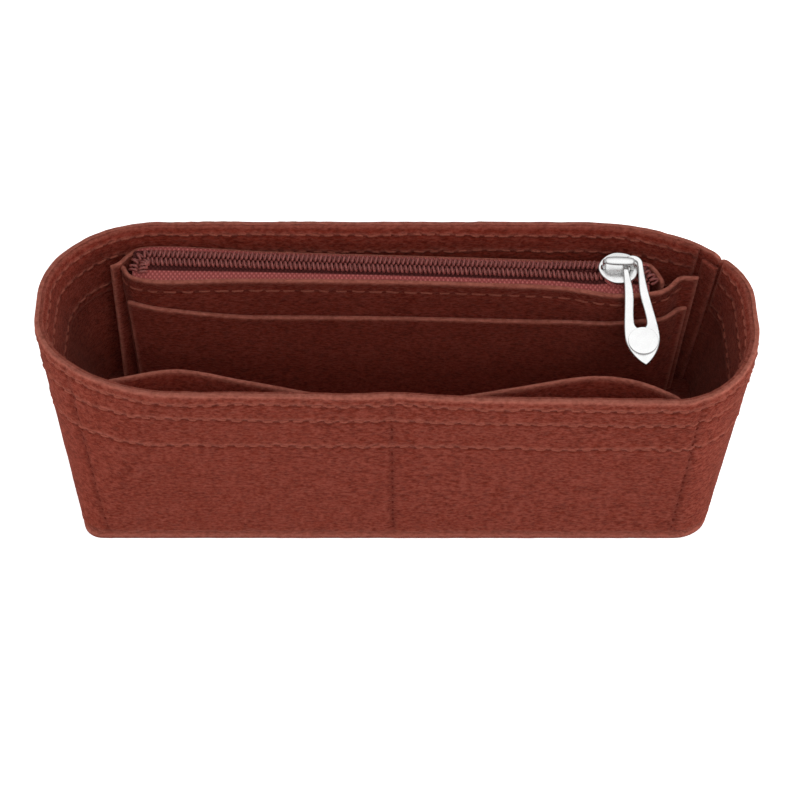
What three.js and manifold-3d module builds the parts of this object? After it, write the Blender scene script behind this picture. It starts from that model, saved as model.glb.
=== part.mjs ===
// Felt organizer insert for a handbag: a low felt tub with front pockets and a zipped pouch.
// Millimetres. X runs along the rim, Y to the rear, Z up. The origin is under the middle of the base.
import * as THREE from 'three';
import { mergeVertices } from 'three/addons/utils/BufferGeometryUtils.js';
import createManifoldModule from 'manifold-3d';

const manifoldModule = await createManifoldModule();
manifoldModule.setup();
const { Manifold, Mesh: ManifoldMesh } = manifoldModule;

// Tub
const HEIGHT = 64;
const RIM_LENGTH = 230;
const RIM_REAR = 42.8;
const RIM_FRONT = 41.2;
const RIM_SKEW = 0.022; // how much the front of the rim comes forward per millimetre to the right
const BASE_LENGTH = 201;
const BASE_DEPTH = 80;
const BASE_CORNER = 11;
const RIM_CORNERS = {
  rearRight: [56, 37],
  rearLeft: [38, 37],
  frontLeft: [48, 38],
  frontRight: [29, 36],
};

// Sheets and clearances
const FELT = 1.6;
const LAYER_GAP = 0.3; // between two layers that are sewn together
const FACING_DEPTH = 24; // height of the band sewn inside the rim
const SEAM_ANGLE = 33; // where the wall's two ends meet, on the rear right corner
const SEAM_SLIT = 0.3;
const SEAM_STRIP_REARWARD = 5.6;
const SEAM_STRIP_FORWARD = 1.2;
const SEAM_STRIP_BASE_SCALE = 0.6;
const SEAM_STRIP_GAP = 0.7;
const SEAM_STRIP_MARGIN = 1.6;
const SEAM_STRIP_BELOW_RIM = 3.4;
const SHEET_FOOT = 2.0; // lower edge of the inner sheets, just above the base

// Front pockets: distance in from the end of the tub, and how far the sheet stands off the wall there
const POCKET_BELOW_RIM = 8;
const POCKET_FOOT_NARROWING = 0.06;
const POCKET_BULGE_LEFT = [[15.2, 0], [21.2, 5.4], [41.2, 15.5], [65.2, 11.1], [87.2, 5.6]];
const POCKET_BULGE_RIGHT = [[93.2, 5.2], [76.2, 9.4], [50.2, 15.0], [37.2, 13.0], [25.2, 6.4], [17.2, 0]];

// Zipped pouch: its end points are [distance in from the end of the tub, distance forward of its back]
const POUCH_FRONT_BELOW_RIM = 6.2;
const POUCH_BACK_BELOW_RIM = 6.4;
const FELT_TO_CHAIN = 5.0; // from the middle of the chain to the felt on either side
const BACK_LEFT_TAB = {
  top: [[20.6, 15.0], [23.4, 13.2], [25.9, 9.6]],
  foot: [[9.6, 12.0], [12.4, 10.6], [14.9, 7.9]],
};
const BACK_RIGHT_END = {
  top: [[34.4, 13.2], [31.3, 14.0], [29.5, 16.4], [27.9, 20.4], [27.1, 22.8]],
  foot: [[23.9, 9.1], [21.3, 10.0], [19.5, 11.0], [18.1, 11.9], [17.3, 12.5]],
};
const BACK_FOOT = { left: [20, 6.1], right: [30.9, 7.9] };
const FRONT_LEFT_END = { top: [[24.5, 14.9], [27.1, 19.6]], foot: [[15.0, 11.8], [18.0, 12.8]] };
const FRONT_RIGHT_TAB = {
  top: [[28.4, 27.4], [25.9, 25.8], [24.1, 23.8], [22.3, 21.4], [20.6, 20.3], [18.0, 20.5], [15.4, 20.5]],
  foot: [[18.9, 14.2], [17.0, 14.6], [15.4, 14.4], [13.6, 13.8], [12.0, 13.2], [10.2, 12.5], [8.4, 11.7]],
};
const FRONT_FOOT_FORWARD = 13.2;
const FRONT_FOOT_TAPER = 0.3; // share of the tub's own taper that the front sheet follows
// how far the front sheet bows out beyond that, as [distance from the chain's start, bow] and from its end
const FRONT_BOW_LEFT = [[6, 3.2], [36, 1.5], [84, 0]];
const FRONT_BOW_RIGHT = [[52, 0], [29, 0.5], [11, 3.4], [2, 2.3]];
const SLIP_SLACK = 0.6; // between the slip pocket and the pouch behind it
const SLIP_LEFT_END = { top: [25.5, 21.9], foot: [15.9, 14.5] };
const SLIP_RIGHT_END = {
  top: [[27.6, 29.9], [24.3, 27.8], [22.2, 25.5], [20.2, 23.4], [17.4, 23.1]],
  foot: [[18.4, 16.8], [16.4, 17.1], [14.6, 16.9], [12.9, 16.3], [10.6, 15.6]],
};
const SLIP_MIDDLE_BELOW_RIM = 21.7;
// How far the slip pocket's top rises to each end, and the shares of its length between which it does
const SLIP_LEFT_RISE = { height: 5.5, from: 0, to: 0.23 };
const SLIP_RIGHT_RISE = { height: 3.6, from: 0.08, to: 0.3 };

// Zip fastener, in its own frame: u along the chain, v across it to the rear, w up from the tape
const ZIP_BELOW_RIM = 6;
const ZIP_FORWARD = 15.9; // from the back of the tub to the middle of the chain
const ZIP_YAW = -2.6;
const ZIP_TILT = 12;
const CHAIN_IN_LEFT = 27.8; // from the ends of the tub to the ends of the chain
const CHAIN_IN_RIGHT = 31.6;
const TAPE = 0.5;
const TAPE_EDGE = 0.6; // from the middle of the chain to the edge of each tape
const TAPE_TURN_DOWN = 6.5;
const COIL_WIDTH = 2.6;
const COIL_HEIGHT = 1.9;
const COIL_SPACING = 1.0; // between the two rows of teeth
const CHAIN_SPREAD = 0.8; // how far each row bows out just ahead of the slider
const SPREAD_LENGTH = 18;
const SPREAD_RETURN = 5;
const SPREAD_AHEAD = 8.2; // from the slider's middle to where the rows are widest apart

// Slider and puller
const SLIDER_FROM_CHAIN_END = 9.8;
const SLIDER_LENGTH = 12.8;
const SLIDER_WIDTH = 10.8;
const SLIDER_PLATE = 0.9;
const TOP_PLATE_FLOOR = 2.5;
const FOOT_PLATE_CEILING = -0.9;
const FOOT_PLATE_WIDTH = 7.0;
const FOOT_PLATE_LENGTH = 12.0;
const POST_THICKNESS = 0.5;
const POST_SPAN = [-5.2, -2.6];
const LIP_LENGTH = 3.6;
const LIP_AT = -0.6; // along the slider from its middle
const LIP_INSET = 0.7;
const LIP_THICKNESS = 0.6;
const LIP_CLEARANCE = 0.4;
const BRIDGE_WIDTH = 2.0;
const BRIDGE_BAR = 1.2;
const BRIDGE_WINDOW = 2.9;
const BRIDGE_SPAN = [-5.4, 4.9];
const PILLAR = 1.2;
const BRIDGE_SHOULDER = 2.0; // length of the rounding at each end of the bridge
const BRIDGE_SHOULDER_DROP = 0.6;
const PULLER_THICKNESS = 1.4;
const PULLER_DROOP = 7.5; // below the plane of the slider
const PULLER_YAW = 7.3;
const PULLER_LIFT = 0.2; // above the middle of the bridge's window
const PULLER_RING_INNER = 1.6;
const PULLER_RING_OUTER = 3.3;
const PULLER_HALF_WIDTH = 5.6;
const PULLER_TIP = 36.6;
const PULLER_DISC_AT = 28.2;
const PULLER_DISC_RADIUS = 4.8;
const PULLER_DISC_RISE = 0.5;
const PULLER_WINDOW_END = 24.2;
const PULLER_WINDOW_WAIST = 1.0;
const PULLER_WINDOW_HALF_WIDTH = 2.0;

// Finishes
const FELT_COLOUR = 0x7d3629;
const FELT_INNER_COLOUR = 0x71302a;
const TAPE_COLOUR = 0x7c3d3c;
const COIL_COLOUR = 0x5d2a2b;
const METAL_COLOUR = 0xd8d8da;

const radians = THREE.MathUtils.degToRad;
const mix = THREE.MathUtils.lerp;
const smooth = THREE.MathUtils.smoothstep;

// Closed solid from corner points and triangles, turned so that its faces look outward.
function solid(points, triangles) {
  let volume = 0;
  const cross = new THREE.Vector3();
  for (const [a, b, c] of triangles) {
    volume += points[a].dot(cross.crossVectors(points[b], points[c]));
  }
  const index = [];
  for (const [a, b, c] of triangles) {
    index.push(...(volume > 0 ? [a, b, c] : [a, c, b]));
  }
  const geometry = new THREE.BufferGeometry().setFromPoints(points);
  geometry.setIndex(index);
  return geometry;
}

// Thin sheet between an outer and an inner grid of points.
function sheet(across, up, outer, inner) {
  const points = [];
  const triangles = [];
  for (const face of [outer, inner]) {
    for (let i = 0; i <= across; i += 1) {
      for (let j = 0; j <= up; j += 1) {
        points.push(face(i, j));
      }
    }
  }
  const layer = (across + 1) * (up + 1);
  const at = (side, i, j) => side * layer + i * (up + 1) + j;
  const quad = (a, b, c, d) => triangles.push([a, b, c], [a, c, d]);
  for (let i = 0; i < across; i += 1) {
    for (let j = 0; j < up; j += 1) {
      quad(at(0, i, j), at(0, i + 1, j), at(0, i + 1, j + 1), at(0, i, j + 1));
      quad(at(1, i, j), at(1, i, j + 1), at(1, i + 1, j + 1), at(1, i + 1, j));
    }
    quad(at(0, i, 0), at(1, i, 0), at(1, i + 1, 0), at(0, i + 1, 0));
    quad(at(0, i, up), at(0, i + 1, up), at(1, i + 1, up), at(1, i, up));
  }
  for (let j = 0; j < up; j += 1) {
    quad(at(0, 0, j), at(0, 0, j + 1), at(1, 0, j + 1), at(1, 0, j));
    quad(at(0, across, j), at(1, across, j), at(1, across, j + 1), at(0, across, j + 1));
  }
  return solid(points, triangles);
}

// Solid bar through a row of sections, each a list of points whose first point sees all the others.
function loft(sections) {
  const count = sections[0].length;
  const points = sections.flat();
  const triangles = [];
  for (let s = 0; s + 1 < sections.length; s += 1) {
    for (let k = 0; k < count; k += 1) {
      const a = s * count + k;
      const b = s * count + (k + 1) % count;
      triangles.push([a, b, b + count], [a, b + count, a + count]);
    }
  }
  const last = (sections.length - 1) * count;
  for (let k = 1; k + 1 < count; k += 1) {
    triangles.push([0, k + 1, k], [last, last + k, last + k + 1]);
  }
  return solid(points, triangles);
}

function toManifold(geometry) {
  const bare = geometry.clone();
  bare.deleteAttribute('normal');
  bare.deleteAttribute('uv');
  const merged = mergeVertices(bare, 1e-4);
  return new Manifold(new ManifoldMesh({
    numProp: 3,
    vertProperties: new Float32Array(merged.attributes.position.array),
    triVerts: new Uint32Array(merged.index.array),
  }));
}

function union(geometries) {
  const joined = geometries.map(toManifold).reduce((whole, piece) => whole.add(piece));
  const mesh = joined.getMesh();
  const geometry = new THREE.BufferGeometry();
  geometry.setAttribute('position', new THREE.BufferAttribute(new Float32Array(mesh.vertProperties), 3));
  geometry.setIndex(new THREE.BufferAttribute(new Uint32Array(mesh.triVerts), 1));
  return geometry;
}

function block(size, centre) {
  return new THREE.BoxGeometry(...size).translate(...centre);
}

function halfLengthAt(level) {
  return mix(BASE_LENGTH, RIM_LENGTH, level) / 2;
}

function rearAt(level) {
  return mix(BASE_DEPTH / 2, RIM_REAR, level);
}

// Tub outline at a level from 0 at the base to 1 at the rim, moved inward by an inset
function corners(level) {
  const halfLength = halfLengthAt(level);
  const rear = rearAt(level);
  const front = mix(BASE_DEPTH / 2, RIM_FRONT, level);
  const corner = (name, sideX, sideY) => {
    const rx = mix(BASE_CORNER, RIM_CORNERS[name][0], level);
    const ry = mix(BASE_CORNER, RIM_CORNERS[name][1], level);
    const reachY = sideY > 0 ? rear : front;
    return { rx, ry, x: sideX * (halfLength - rx), y: sideY * (reachY - ry) };
  };
  return {
    rear,
    front,
    rearRight: corner('rearRight', 1, 1),
    rearLeft: corner('rearLeft', -1, 1),
    frontLeft: corner('frontLeft', -1, -1),
    frontRight: corner('frontRight', 1, -1),
  };
}

function skewed(x, y, level) {
  const { rear, front } = corners(level);
  const forward = (rear - y) / (rear + front);
  return new THREE.Vector2(x, y - RIM_SKEW * x * forward * level);
}

function cornerPoint(corner, degrees, inset, level) {
  const turn = radians(degrees);
  const x = corner.x + (corner.rx - inset) * Math.cos(turn);
  const y = corner.y + (corner.ry - inset) * Math.sin(turn);
  return skewed(x, y, level);
}

// Degrees on the rear right corner that span a length along the wall
function seamDegrees(level, length) {
  const { rx, ry } = corners(level).rearRight;
  const turn = radians(SEAM_ANGLE);
  return THREE.MathUtils.radToDeg(length / Math.hypot(rx * Math.sin(turn), ry * Math.cos(turn)));
}

const CORNER_STEPS = 10;
const FRONT_STEPS = 6;

// Path round the tub from one side of the seam to the other
function wallPath(level, inset, trimRearward, trimForward) {
  const c = corners(level);
  const path = [];
  const sweep = (corner, from, to) => {
    for (let k = 0; k <= CORNER_STEPS; k += 1) {
      path.push(cornerPoint(corner, mix(from, to, k / CORNER_STEPS), inset, level));
    }
  };
  sweep(c.rearRight, SEAM_ANGLE + seamDegrees(level, trimRearward), 90);
  sweep(c.rearLeft, 90, 180);
  sweep(c.frontLeft, 180, 270);
  for (let k = 1; k < FRONT_STEPS; k += 1) {
    const x = mix(c.frontLeft.x, c.frontRight.x, k / FRONT_STEPS);
    path.push(skewed(x, inset - c.front, level));
  }
  sweep(c.frontRight, 270, 360);
  sweep(c.rearRight, 0, SEAM_ANGLE - seamDegrees(level, trimForward));
  return path;
}

function band(zFoot, zTop, levels, outerInset, trimRearward, trimForward) {
  const rows = [];
  for (let j = 0; j <= levels; j += 1) {
    const z = mix(zFoot, zTop, j / levels);
    rows.push({
      z,
      outer: wallPath(z / HEIGHT, outerInset, trimRearward, trimForward),
      inner: wallPath(z / HEIGHT, outerInset + FELT, trimRearward, trimForward),
    });
  }
  const pick = (side) => (i, j) => new THREE.Vector3(rows[j][side][i].x, rows[j][side][i].y, rows[j].z);
  return sheet(rows[0].outer.length - 1, levels, pick('outer'), pick('inner'));
}

// Front face of the tub at a place along it, moved inward by an inset
function frontFace(x, level, inset) {
  const c = corners(level);
  let y = inset - c.front;
  for (const corner of [c.frontLeft, c.frontRight]) {
    const beyond = (x - corner.x) / (corner.rx - inset);
    if (beyond * Math.sign(corner.x) > 0) {
      y = corner.y - (corner.ry - inset) * Math.sqrt(Math.max(0, 1 - beyond * beyond));
    }
  }
  return skewed(x, y, level);
}

function planCurve(pairs) {
  return new THREE.CatmullRomCurve3(pairs.map(([x, y]) => new THREE.Vector3(x, y, 0)), false, 'centripetal');
}

// Upright felt sheet on a centre line that is given for each place along it and each height
function uprightSheet(across, up, centre, thickness) {
  const step = 1e-3;
  const offset = (side) => (i, j) => {
    const s = i / across;
    const t = j / up;
    const point = centre(s, t);
    const along = centre(Math.min(1, s + step), t).sub(centre(Math.max(0, s - step), t));
    const normal = new THREE.Vector3(along.y, -along.x, 0).normalize();
    return point.addScaledVector(normal, side * thickness / 2);
  };
  return sheet(across, up, offset(1), offset(-1));
}

// Middle line of the chain, seen from above
const ZIP_HEIGHT = HEIGHT - ZIP_BELOW_RIM;
const ZIP_LEVEL = ZIP_HEIGHT / HEIGHT;
const ZIP_Y = rearAt(ZIP_LEVEL) - ZIP_FORWARD;
const CHAIN_START = CHAIN_IN_LEFT - halfLengthAt(ZIP_LEVEL);
const CHAIN_END = halfLengthAt(ZIP_LEVEL) - CHAIN_IN_RIGHT;
const SLIDER_AT = CHAIN_END - SLIDER_FROM_CHAIN_END;
const POUCH_FRONT_TOP = HEIGHT - POUCH_FRONT_BELOW_RIM;
const POUCH_BACK_TOP = HEIGHT - POUCH_BACK_BELOW_RIM;

function besideChain(x, offset) {
  return [x, ZIP_Y + Math.tan(radians(ZIP_YAW)) * x + offset];
}

function fromEnd(side, z) {
  const level = z / HEIGHT;
  return ([inward, forward]) => [side * (halfLengthAt(level) - inward), rearAt(level) - forward];
}

const fromLeft = (z) => fromEnd(-1, z);
const fromRight = (z) => fromEnd(1, z);

function pouchBackCurve() {
  const offset = FELT_TO_CHAIN + FELT / 2;
  const top = [
    ...BACK_LEFT_TAB.top.map(fromLeft(POUCH_BACK_TOP)),
    besideChain(CHAIN_START + 2, offset),
    besideChain(mix(CHAIN_START, SLIDER_AT, 0.3), offset),
    besideChain(mix(CHAIN_START, SLIDER_AT, 0.7), offset),
    besideChain(SLIDER_AT, offset),
    ...BACK_RIGHT_END.top.map(fromRight(POUCH_BACK_TOP)),
  ];
  const left = fromLeft(SHEET_FOOT)(BACK_FOOT.left);
  const right = fromRight(SHEET_FOOT)(BACK_FOOT.right);
  const between = (share) => [mix(left[0], right[0], share), mix(left[1], right[1], share)];
  const foot = [
    ...BACK_LEFT_TAB.foot.map(fromLeft(SHEET_FOOT)),
    left,
    between(0.3),
    between(0.7),
    right,
    ...BACK_RIGHT_END.foot.map(fromRight(SHEET_FOOT)),
  ];
  return { top, foot };
}

// Plan of the pouch's front sheet between its ends, moved forward by a standoff
function frontRun(standoff) {
  const offset = -(FELT_TO_CHAIN + FELT + standoff);
  const top = [
    ...FRONT_BOW_LEFT.map(([along, bow]) => besideChain(CHAIN_START + along, offset - bow)),
    ...FRONT_BOW_RIGHT.map(([along, bow]) => besideChain(CHAIN_END - along, offset - bow)),
  ];
  const shrink = BASE_LENGTH / RIM_LENGTH;
  const footY = rearAt(SHEET_FOOT / HEIGHT) - FRONT_FOOT_FORWARD - standoff;
  const foot = top.map(([x]) => [mix(x, x * shrink, FRONT_FOOT_TAPER), footY]);
  return { top, foot };
}

function pouchFrontCurve() {
  const run = frontRun(0);
  const place = (left, middle, right, z) => [...left.map(fromLeft(z)), ...middle, ...right.map(fromRight(z))];
  return {
    top: place(FRONT_LEFT_END.top, run.top, FRONT_RIGHT_TAB.top, POUCH_FRONT_TOP),
    foot: place(FRONT_LEFT_END.foot, run.foot, FRONT_RIGHT_TAB.foot, SHEET_FOOT),
  };
}

function slipCurve() {
  const run = frontRun(FELT + LAYER_GAP + SLIP_SLACK);
  const place = (left, middle, right, z) => [fromLeft(z)(left), ...middle, ...right.map(fromRight(z))];
  return {
    top: place(SLIP_LEFT_END.top, run.top, SLIP_RIGHT_END.top, POUCH_FRONT_TOP),
    foot: place(SLIP_LEFT_END.foot, run.foot, SLIP_RIGHT_END.foot, SHEET_FOOT),
  };
}

const POUCH_FRONT_CURVE = pouchFrontCurve();
const POUCH_BACK_CURVE = pouchBackCurve();

// Sheet between its curves at the foot and at the top, ending at a height given for each share of its length
function curvedPanel(curve, referenceTop, across, up, topAt = () => referenceTop) {
  const top = planCurve(curve.top);
  const foot = planCurve(curve.foot);
  const lengths = top.getLengths(400);
  const shareOfLength = (s) => {
    const place = s * (lengths.length - 1);
    const first = Math.min(Math.floor(place), lengths.length - 2);
    return mix(lengths[first], lengths[first + 1], place - first) / lengths[lengths.length - 1];
  };
  const centre = (s, t) => {
    const z = mix(SHEET_FOOT, topAt(shareOfLength(s)), t);
    const rise = (z - SHEET_FOOT) / (referenceTop - SHEET_FOOT);
    return foot.getPoint(s).lerp(top.getPoint(s), rise).setZ(z);
  };
  return uprightSheet(across, up, centre, FELT);
}

// Place on a pouch sheet's centre line for a distance along X and a height
function panelY(curve, referenceTop, x, z) {
  const top = planCurve(curve.top);
  const foot = planCurve(curve.foot);
  const rise = (z - SHEET_FOOT) / (referenceTop - SHEET_FOOT);
  const point = (s) => foot.getPoint(s).lerp(top.getPoint(s), rise);
  let low = 0;
  let high = 1;
  for (let k = 0; k < 30; k += 1) {
    const middle = (low + high) / 2;
    if (point(middle).x < x) {
      low = middle;
    } else {
      high = middle;
    }
  }
  return point(low).y;
}

// How much longer a standoff from a pouch sheet is along Y than square to the sheet
function panelSlant(curve, referenceTop, x) {
  const reach = 1.5;
  const rise = (from) => Math.abs(panelY(curve, referenceTop, from + reach, referenceTop)
    - panelY(curve, referenceTop, from, referenceTop)) / reach;
  return Math.hypot(1, Math.max(rise(x), rise(x - reach)));
}

const zipFrame = new THREE.Matrix4()
  .makeTranslation(0, ZIP_Y, ZIP_HEIGHT)
  .multiply(new THREE.Matrix4().makeRotationZ(radians(ZIP_YAW)))
  .multiply(new THREE.Matrix4().makeRotationX(radians(ZIP_TILT)));
const sliderFrame = zipFrame.clone().multiply(new THREE.Matrix4().makeTranslation(SLIDER_AT, 0, 0));

function onZip(u, v, w) {
  return new THREE.Vector3(u, v, w).applyMatrix4(zipFrame);
}

function spread(u) {
  const peak = SLIDER_AT - SPREAD_AHEAD;
  const opening = smooth(u, peak - SPREAD_LENGTH, peak);
  const closing = 1 - smooth(u, peak, peak + SPREAD_RETURN);
  return CHAIN_SPREAD * Math.min(opening, closing);
}

function feltWall() {
  return band(0, HEIGHT, 6, 0, SEAM_SLIT / 2, SEAM_SLIT / 2);
}

function rimFacing() {
  const rearTrim = SEAM_STRIP_REARWARD + SEAM_STRIP_MARGIN;
  const frontTrim = SEAM_STRIP_FORWARD + SEAM_STRIP_MARGIN;
  return band(HEIGHT - FACING_DEPTH, HEIGHT, 3, FELT + LAYER_GAP, rearTrim, frontTrim);
}

function seamStrip() {
  const up = 6;
  const face = (depth) => (i, j) => {
    const z = mix(SHEET_FOOT, HEIGHT - SEAM_STRIP_BELOW_RIM, j / up);
    const level = z / HEIGHT;
    const corner = corners(level).rearRight;
    const middle = cornerPoint(corner, SEAM_ANGLE, 0, level);
    const ahead = cornerPoint(corner, SEAM_ANGLE + 1, 0, level);
    const along = ahead.sub(middle).normalize();
    const inward = new THREE.Vector2(-along.y, along.x);
    const scale = mix(SEAM_STRIP_BASE_SCALE, 1, level);
    const place = i === 0 ? -SEAM_STRIP_FORWARD * scale : SEAM_STRIP_REARWARD * scale;
    const spot = middle.addScaledVector(along, place).addScaledVector(inward, depth);
    return new THREE.Vector3(spot.x, spot.y, z);
  };
  const near = FELT + SEAM_STRIP_GAP;
  return sheet(1, up, face(near), face(near + FELT));
}

function basePanel() {
  const level = FELT / 2 / HEIGHT;
  const ring = wallPath(level, FELT + LAYER_GAP, SEAM_SLIT, SEAM_SLIT);
  const outline = new THREE.Shape(ring);
  return new THREE.ExtrudeGeometry(outline, { depth: FELT, bevelEnabled: false });
}

function frontPockets() {
  const pocketTop = HEIGHT - POCKET_BELOW_RIM;
  const end = halfLengthAt(pocketTop / HEIGHT);
  const line = planCurve([
    ...POCKET_BULGE_LEFT.map(([inward, bulge]) => [inward - end, bulge]),
    [0, 0],
    ...POCKET_BULGE_RIGHT.map(([inward, bulge]) => [end - inward, bulge]),
  ]);
  const inset = 2 * FELT + 2 * LAYER_GAP + FELT / 2;
  const centre = (s, t) => {
    const z = mix(SHEET_FOOT, pocketTop, t);
    const station = line.getPoint(s);
    const x = station.x * (1 - POCKET_FOOT_NARROWING * (1 - t));
    const wall = frontFace(x, z / HEIGHT, inset);
    return new THREE.Vector3(wall.x, wall.y + Math.max(0, station.y) * t ** 0.8, z);
  };
  return uprightSheet(48, 5, centre, FELT);
}

function slipPocket() {
  const rise = (end, run) => end.height * (1 - smooth(run, end.from, end.to));
  const ends = (run) => rise(SLIP_LEFT_RISE, run) + rise(SLIP_RIGHT_RISE, 1 - run);
  const topAt = (run) => HEIGHT - SLIP_MIDDLE_BELOW_RIM + ends(run);
  return curvedPanel(slipCurve(), POUCH_FRONT_TOP, 60, 3, topAt);
}

// Woven tape from the chain to the felt, turned down behind the felt's edge; side -1 is the front one
function zipTape(side) {
  const curve = side < 0 ? POUCH_FRONT_CURVE : POUCH_BACK_CURVE;
  const referenceTop = side < 0 ? POUCH_FRONT_TOP : POUCH_BACK_TOP;
  const steps = 72;
  const standoff = FELT / 2 + LAYER_GAP + TAPE / 2;
  const sections = [];
  for (let k = 0; k <= steps; k += 1) {
    const u = mix(CHAIN_START, CHAIN_END, k / steps);
    const edge = side * (TAPE_EDGE + spread(u));
    const edgeTop = onZip(u, edge, 0);
    const edgeFoot = onZip(u, edge, -TAPE);
    const x = edgeTop.x;
    const slope = Math.tan(radians(ZIP_TILT));
    const away = side * standoff * panelSlant(curve, referenceTop, x);
    const insideFelt = (z) => panelY(curve, referenceTop, x, z) - away;
    const fall = (y) => edgeTop.z - TAPE / 2 + slope * (y - edgeTop.y);
    const turnY = insideFelt(fall(insideFelt(referenceTop)));
    const turnZ = fall(turnY);
    const footZ = turnZ - TAPE_TURN_DOWN;
    const footY = insideFelt(footZ);
    const half = side * TAPE / 2;
    sections.push([
      new THREE.Vector3(x, turnY - half, turnZ - TAPE / 2),
      edgeFoot.setX(x),
      edgeTop,
      new THREE.Vector3(x, turnY + half, turnZ + TAPE / 2),
      new THREE.Vector3(x, footY + half, footZ),
      new THREE.Vector3(x, footY - half, footZ),
    ]);
  }
  return loft(sections);
}

function zipCoil(side) {
  const steps = 60;
  const sides = 8;
  const sections = [];
  for (let k = 0; k <= steps; k += 1) {
    const u = mix(CHAIN_START, CHAIN_END, k / steps);
    const middle = side * (COIL_SPACING / 2 + COIL_WIDTH / 2 + spread(u));
    const ring = [];
    for (let n = 0; n < sides; n += 1) {
      const turn = (n + 0.5) * 2 * Math.PI / sides;
      const v = middle + COIL_WIDTH / 2 * Math.cos(turn);
      const w = LAYER_GAP + COIL_HEIGHT / 2 * (1 + Math.sin(turn));
      ring.push(onZip(u, v, w));
    }
    sections.push(ring);
  }
  return loft(sections);
}

function platePlan(length, width) {
  const shape = new THREE.Shape();
  const tip = -length / 2;
  const heel = length / 2;
  const half = width / 2;
  shape.moveTo(tip, 0);
  shape.bezierCurveTo(tip + 0.2, -half * 0.55, -length * 0.28, -half, -length * 0.06, -half);
  shape.bezierCurveTo(length * 0.18, -half, heel, -half * 0.8, heel, 0);
  shape.bezierCurveTo(heel, half * 0.8, length * 0.18, half, -length * 0.06, half);
  shape.bezierCurveTo(-length * 0.28, half, tip + 0.2, half * 0.55, tip, 0);
  return shape;
}

function plate(length, width, floor) {
  const options = { depth: SLIDER_PLATE, bevelEnabled: false, curveSegments: 6 };
  return new THREE.ExtrudeGeometry(platePlan(length, width), options).translate(0, 0, floor);
}

function sliderBody() {
  const bite = 0.1; // how far the pieces of the casting run into each other
  const footFloor = FOOT_PLATE_CEILING - SLIDER_PLATE;
  const lipHeight = TOP_PLATE_FLOOR - LIP_CLEARANCE + bite;
  const lipV = SLIDER_WIDTH / 2 - LIP_INSET - LIP_THICKNESS / 2;
  const lip = (side) => block(
    [LIP_LENGTH, LIP_THICKNESS, lipHeight],
    [LIP_AT, side * lipV, LIP_CLEARANCE + lipHeight / 2],
  );
  const postHeight = TOP_PLATE_FLOOR - FOOT_PLATE_CEILING + 2 * bite;
  const post = block(
    [POST_SPAN[1] - POST_SPAN[0], POST_THICKNESS, postHeight],
    [(POST_SPAN[0] + POST_SPAN[1]) / 2, 0, FOOT_PLATE_CEILING - bite + postHeight / 2],
  );
  return union([
    plate(SLIDER_LENGTH, SLIDER_WIDTH, TOP_PLATE_FLOOR),
    plate(FOOT_PLATE_LENGTH, FOOT_PLATE_WIDTH, footFloor),
    post,
    lip(-1),
    lip(1),
  ]).applyMatrix4(sliderFrame);
}

const PLATE_TOP = TOP_PLATE_FLOOR + SLIDER_PLATE;

function sliderBridge() {
  const foot = PLATE_TOP + LAYER_GAP;
  const ceiling = PLATE_TOP + BRIDGE_WINDOW;
  const crown = ceiling + BRIDGE_BAR;
  const [left, right] = BRIDGE_SPAN;
  const shape = new THREE.Shape();
  shape.moveTo(left, foot);
  shape.lineTo(left + PILLAR, foot);
  shape.lineTo(left + PILLAR, ceiling);
  shape.lineTo(right - PILLAR, ceiling);
  shape.lineTo(right - PILLAR, foot);
  shape.lineTo(right, foot);
  shape.lineTo(right, ceiling - BRIDGE_SHOULDER_DROP);
  shape.quadraticCurveTo(right, crown, right - BRIDGE_SHOULDER, crown);
  shape.lineTo(left + BRIDGE_SHOULDER, crown);
  shape.quadraticCurveTo(left, crown, left, ceiling - BRIDGE_SHOULDER_DROP);
  const options = { depth: BRIDGE_WIDTH, bevelEnabled: false, curveSegments: 6 };
  return new THREE.ExtrudeGeometry(shape, options)
    .translate(0, 0, -BRIDGE_WIDTH / 2)
    .rotateX(Math.PI / 2)
    .applyMatrix4(sliderFrame);
}

// Puller: a long open loop with a round disc and a pointed tip, hung on the right post of the bridge
function pullerPlan() {
  const half = PULLER_HALF_WIDTH;
  const shape = new THREE.Shape();
  shape.moveTo(PULLER_RING_OUTER, 0);
  shape.absarc(0, 0, PULLER_RING_OUTER, 0, Math.PI, false);
  shape.bezierCurveTo(-PULLER_RING_OUTER, -12, -half, -20, -half, -PULLER_DISC_AT + 2);
  shape.bezierCurveTo(-half, -PULLER_DISC_AT - 2.5, -2.4, -PULLER_TIP + 1.5, 0, -PULLER_TIP);
  shape.bezierCurveTo(2.4, -PULLER_TIP + 1.5, half, -PULLER_DISC_AT - 2.5, half, -PULLER_DISC_AT + 2);
  shape.bezierCurveTo(half, -20, PULLER_RING_OUTER, -12, PULLER_RING_OUTER, 0);
  const hole = new THREE.Path();
  hole.moveTo(PULLER_RING_INNER, 0);
  hole.absarc(0, 0, PULLER_RING_INNER, 0, Math.PI, false);
  const waist = PULLER_WINDOW_WAIST;
  const wide = PULLER_WINDOW_HALF_WIDTH;
  const end = -PULLER_WINDOW_END;
  hole.bezierCurveTo(-PULLER_RING_INNER, -4, -waist, -6, -waist, -10);
  hole.bezierCurveTo(-waist, -14, -wide, -17, -wide, end + 3);
  hole.bezierCurveTo(-wide, end, wide, end, wide, end + 3);
  hole.bezierCurveTo(wide, -17, waist, -14, waist, -10);
  hole.bezierCurveTo(waist, -6, PULLER_RING_INNER, -4, PULLER_RING_INNER, 0);
  shape.holes.push(hole);
  return shape;
}

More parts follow.
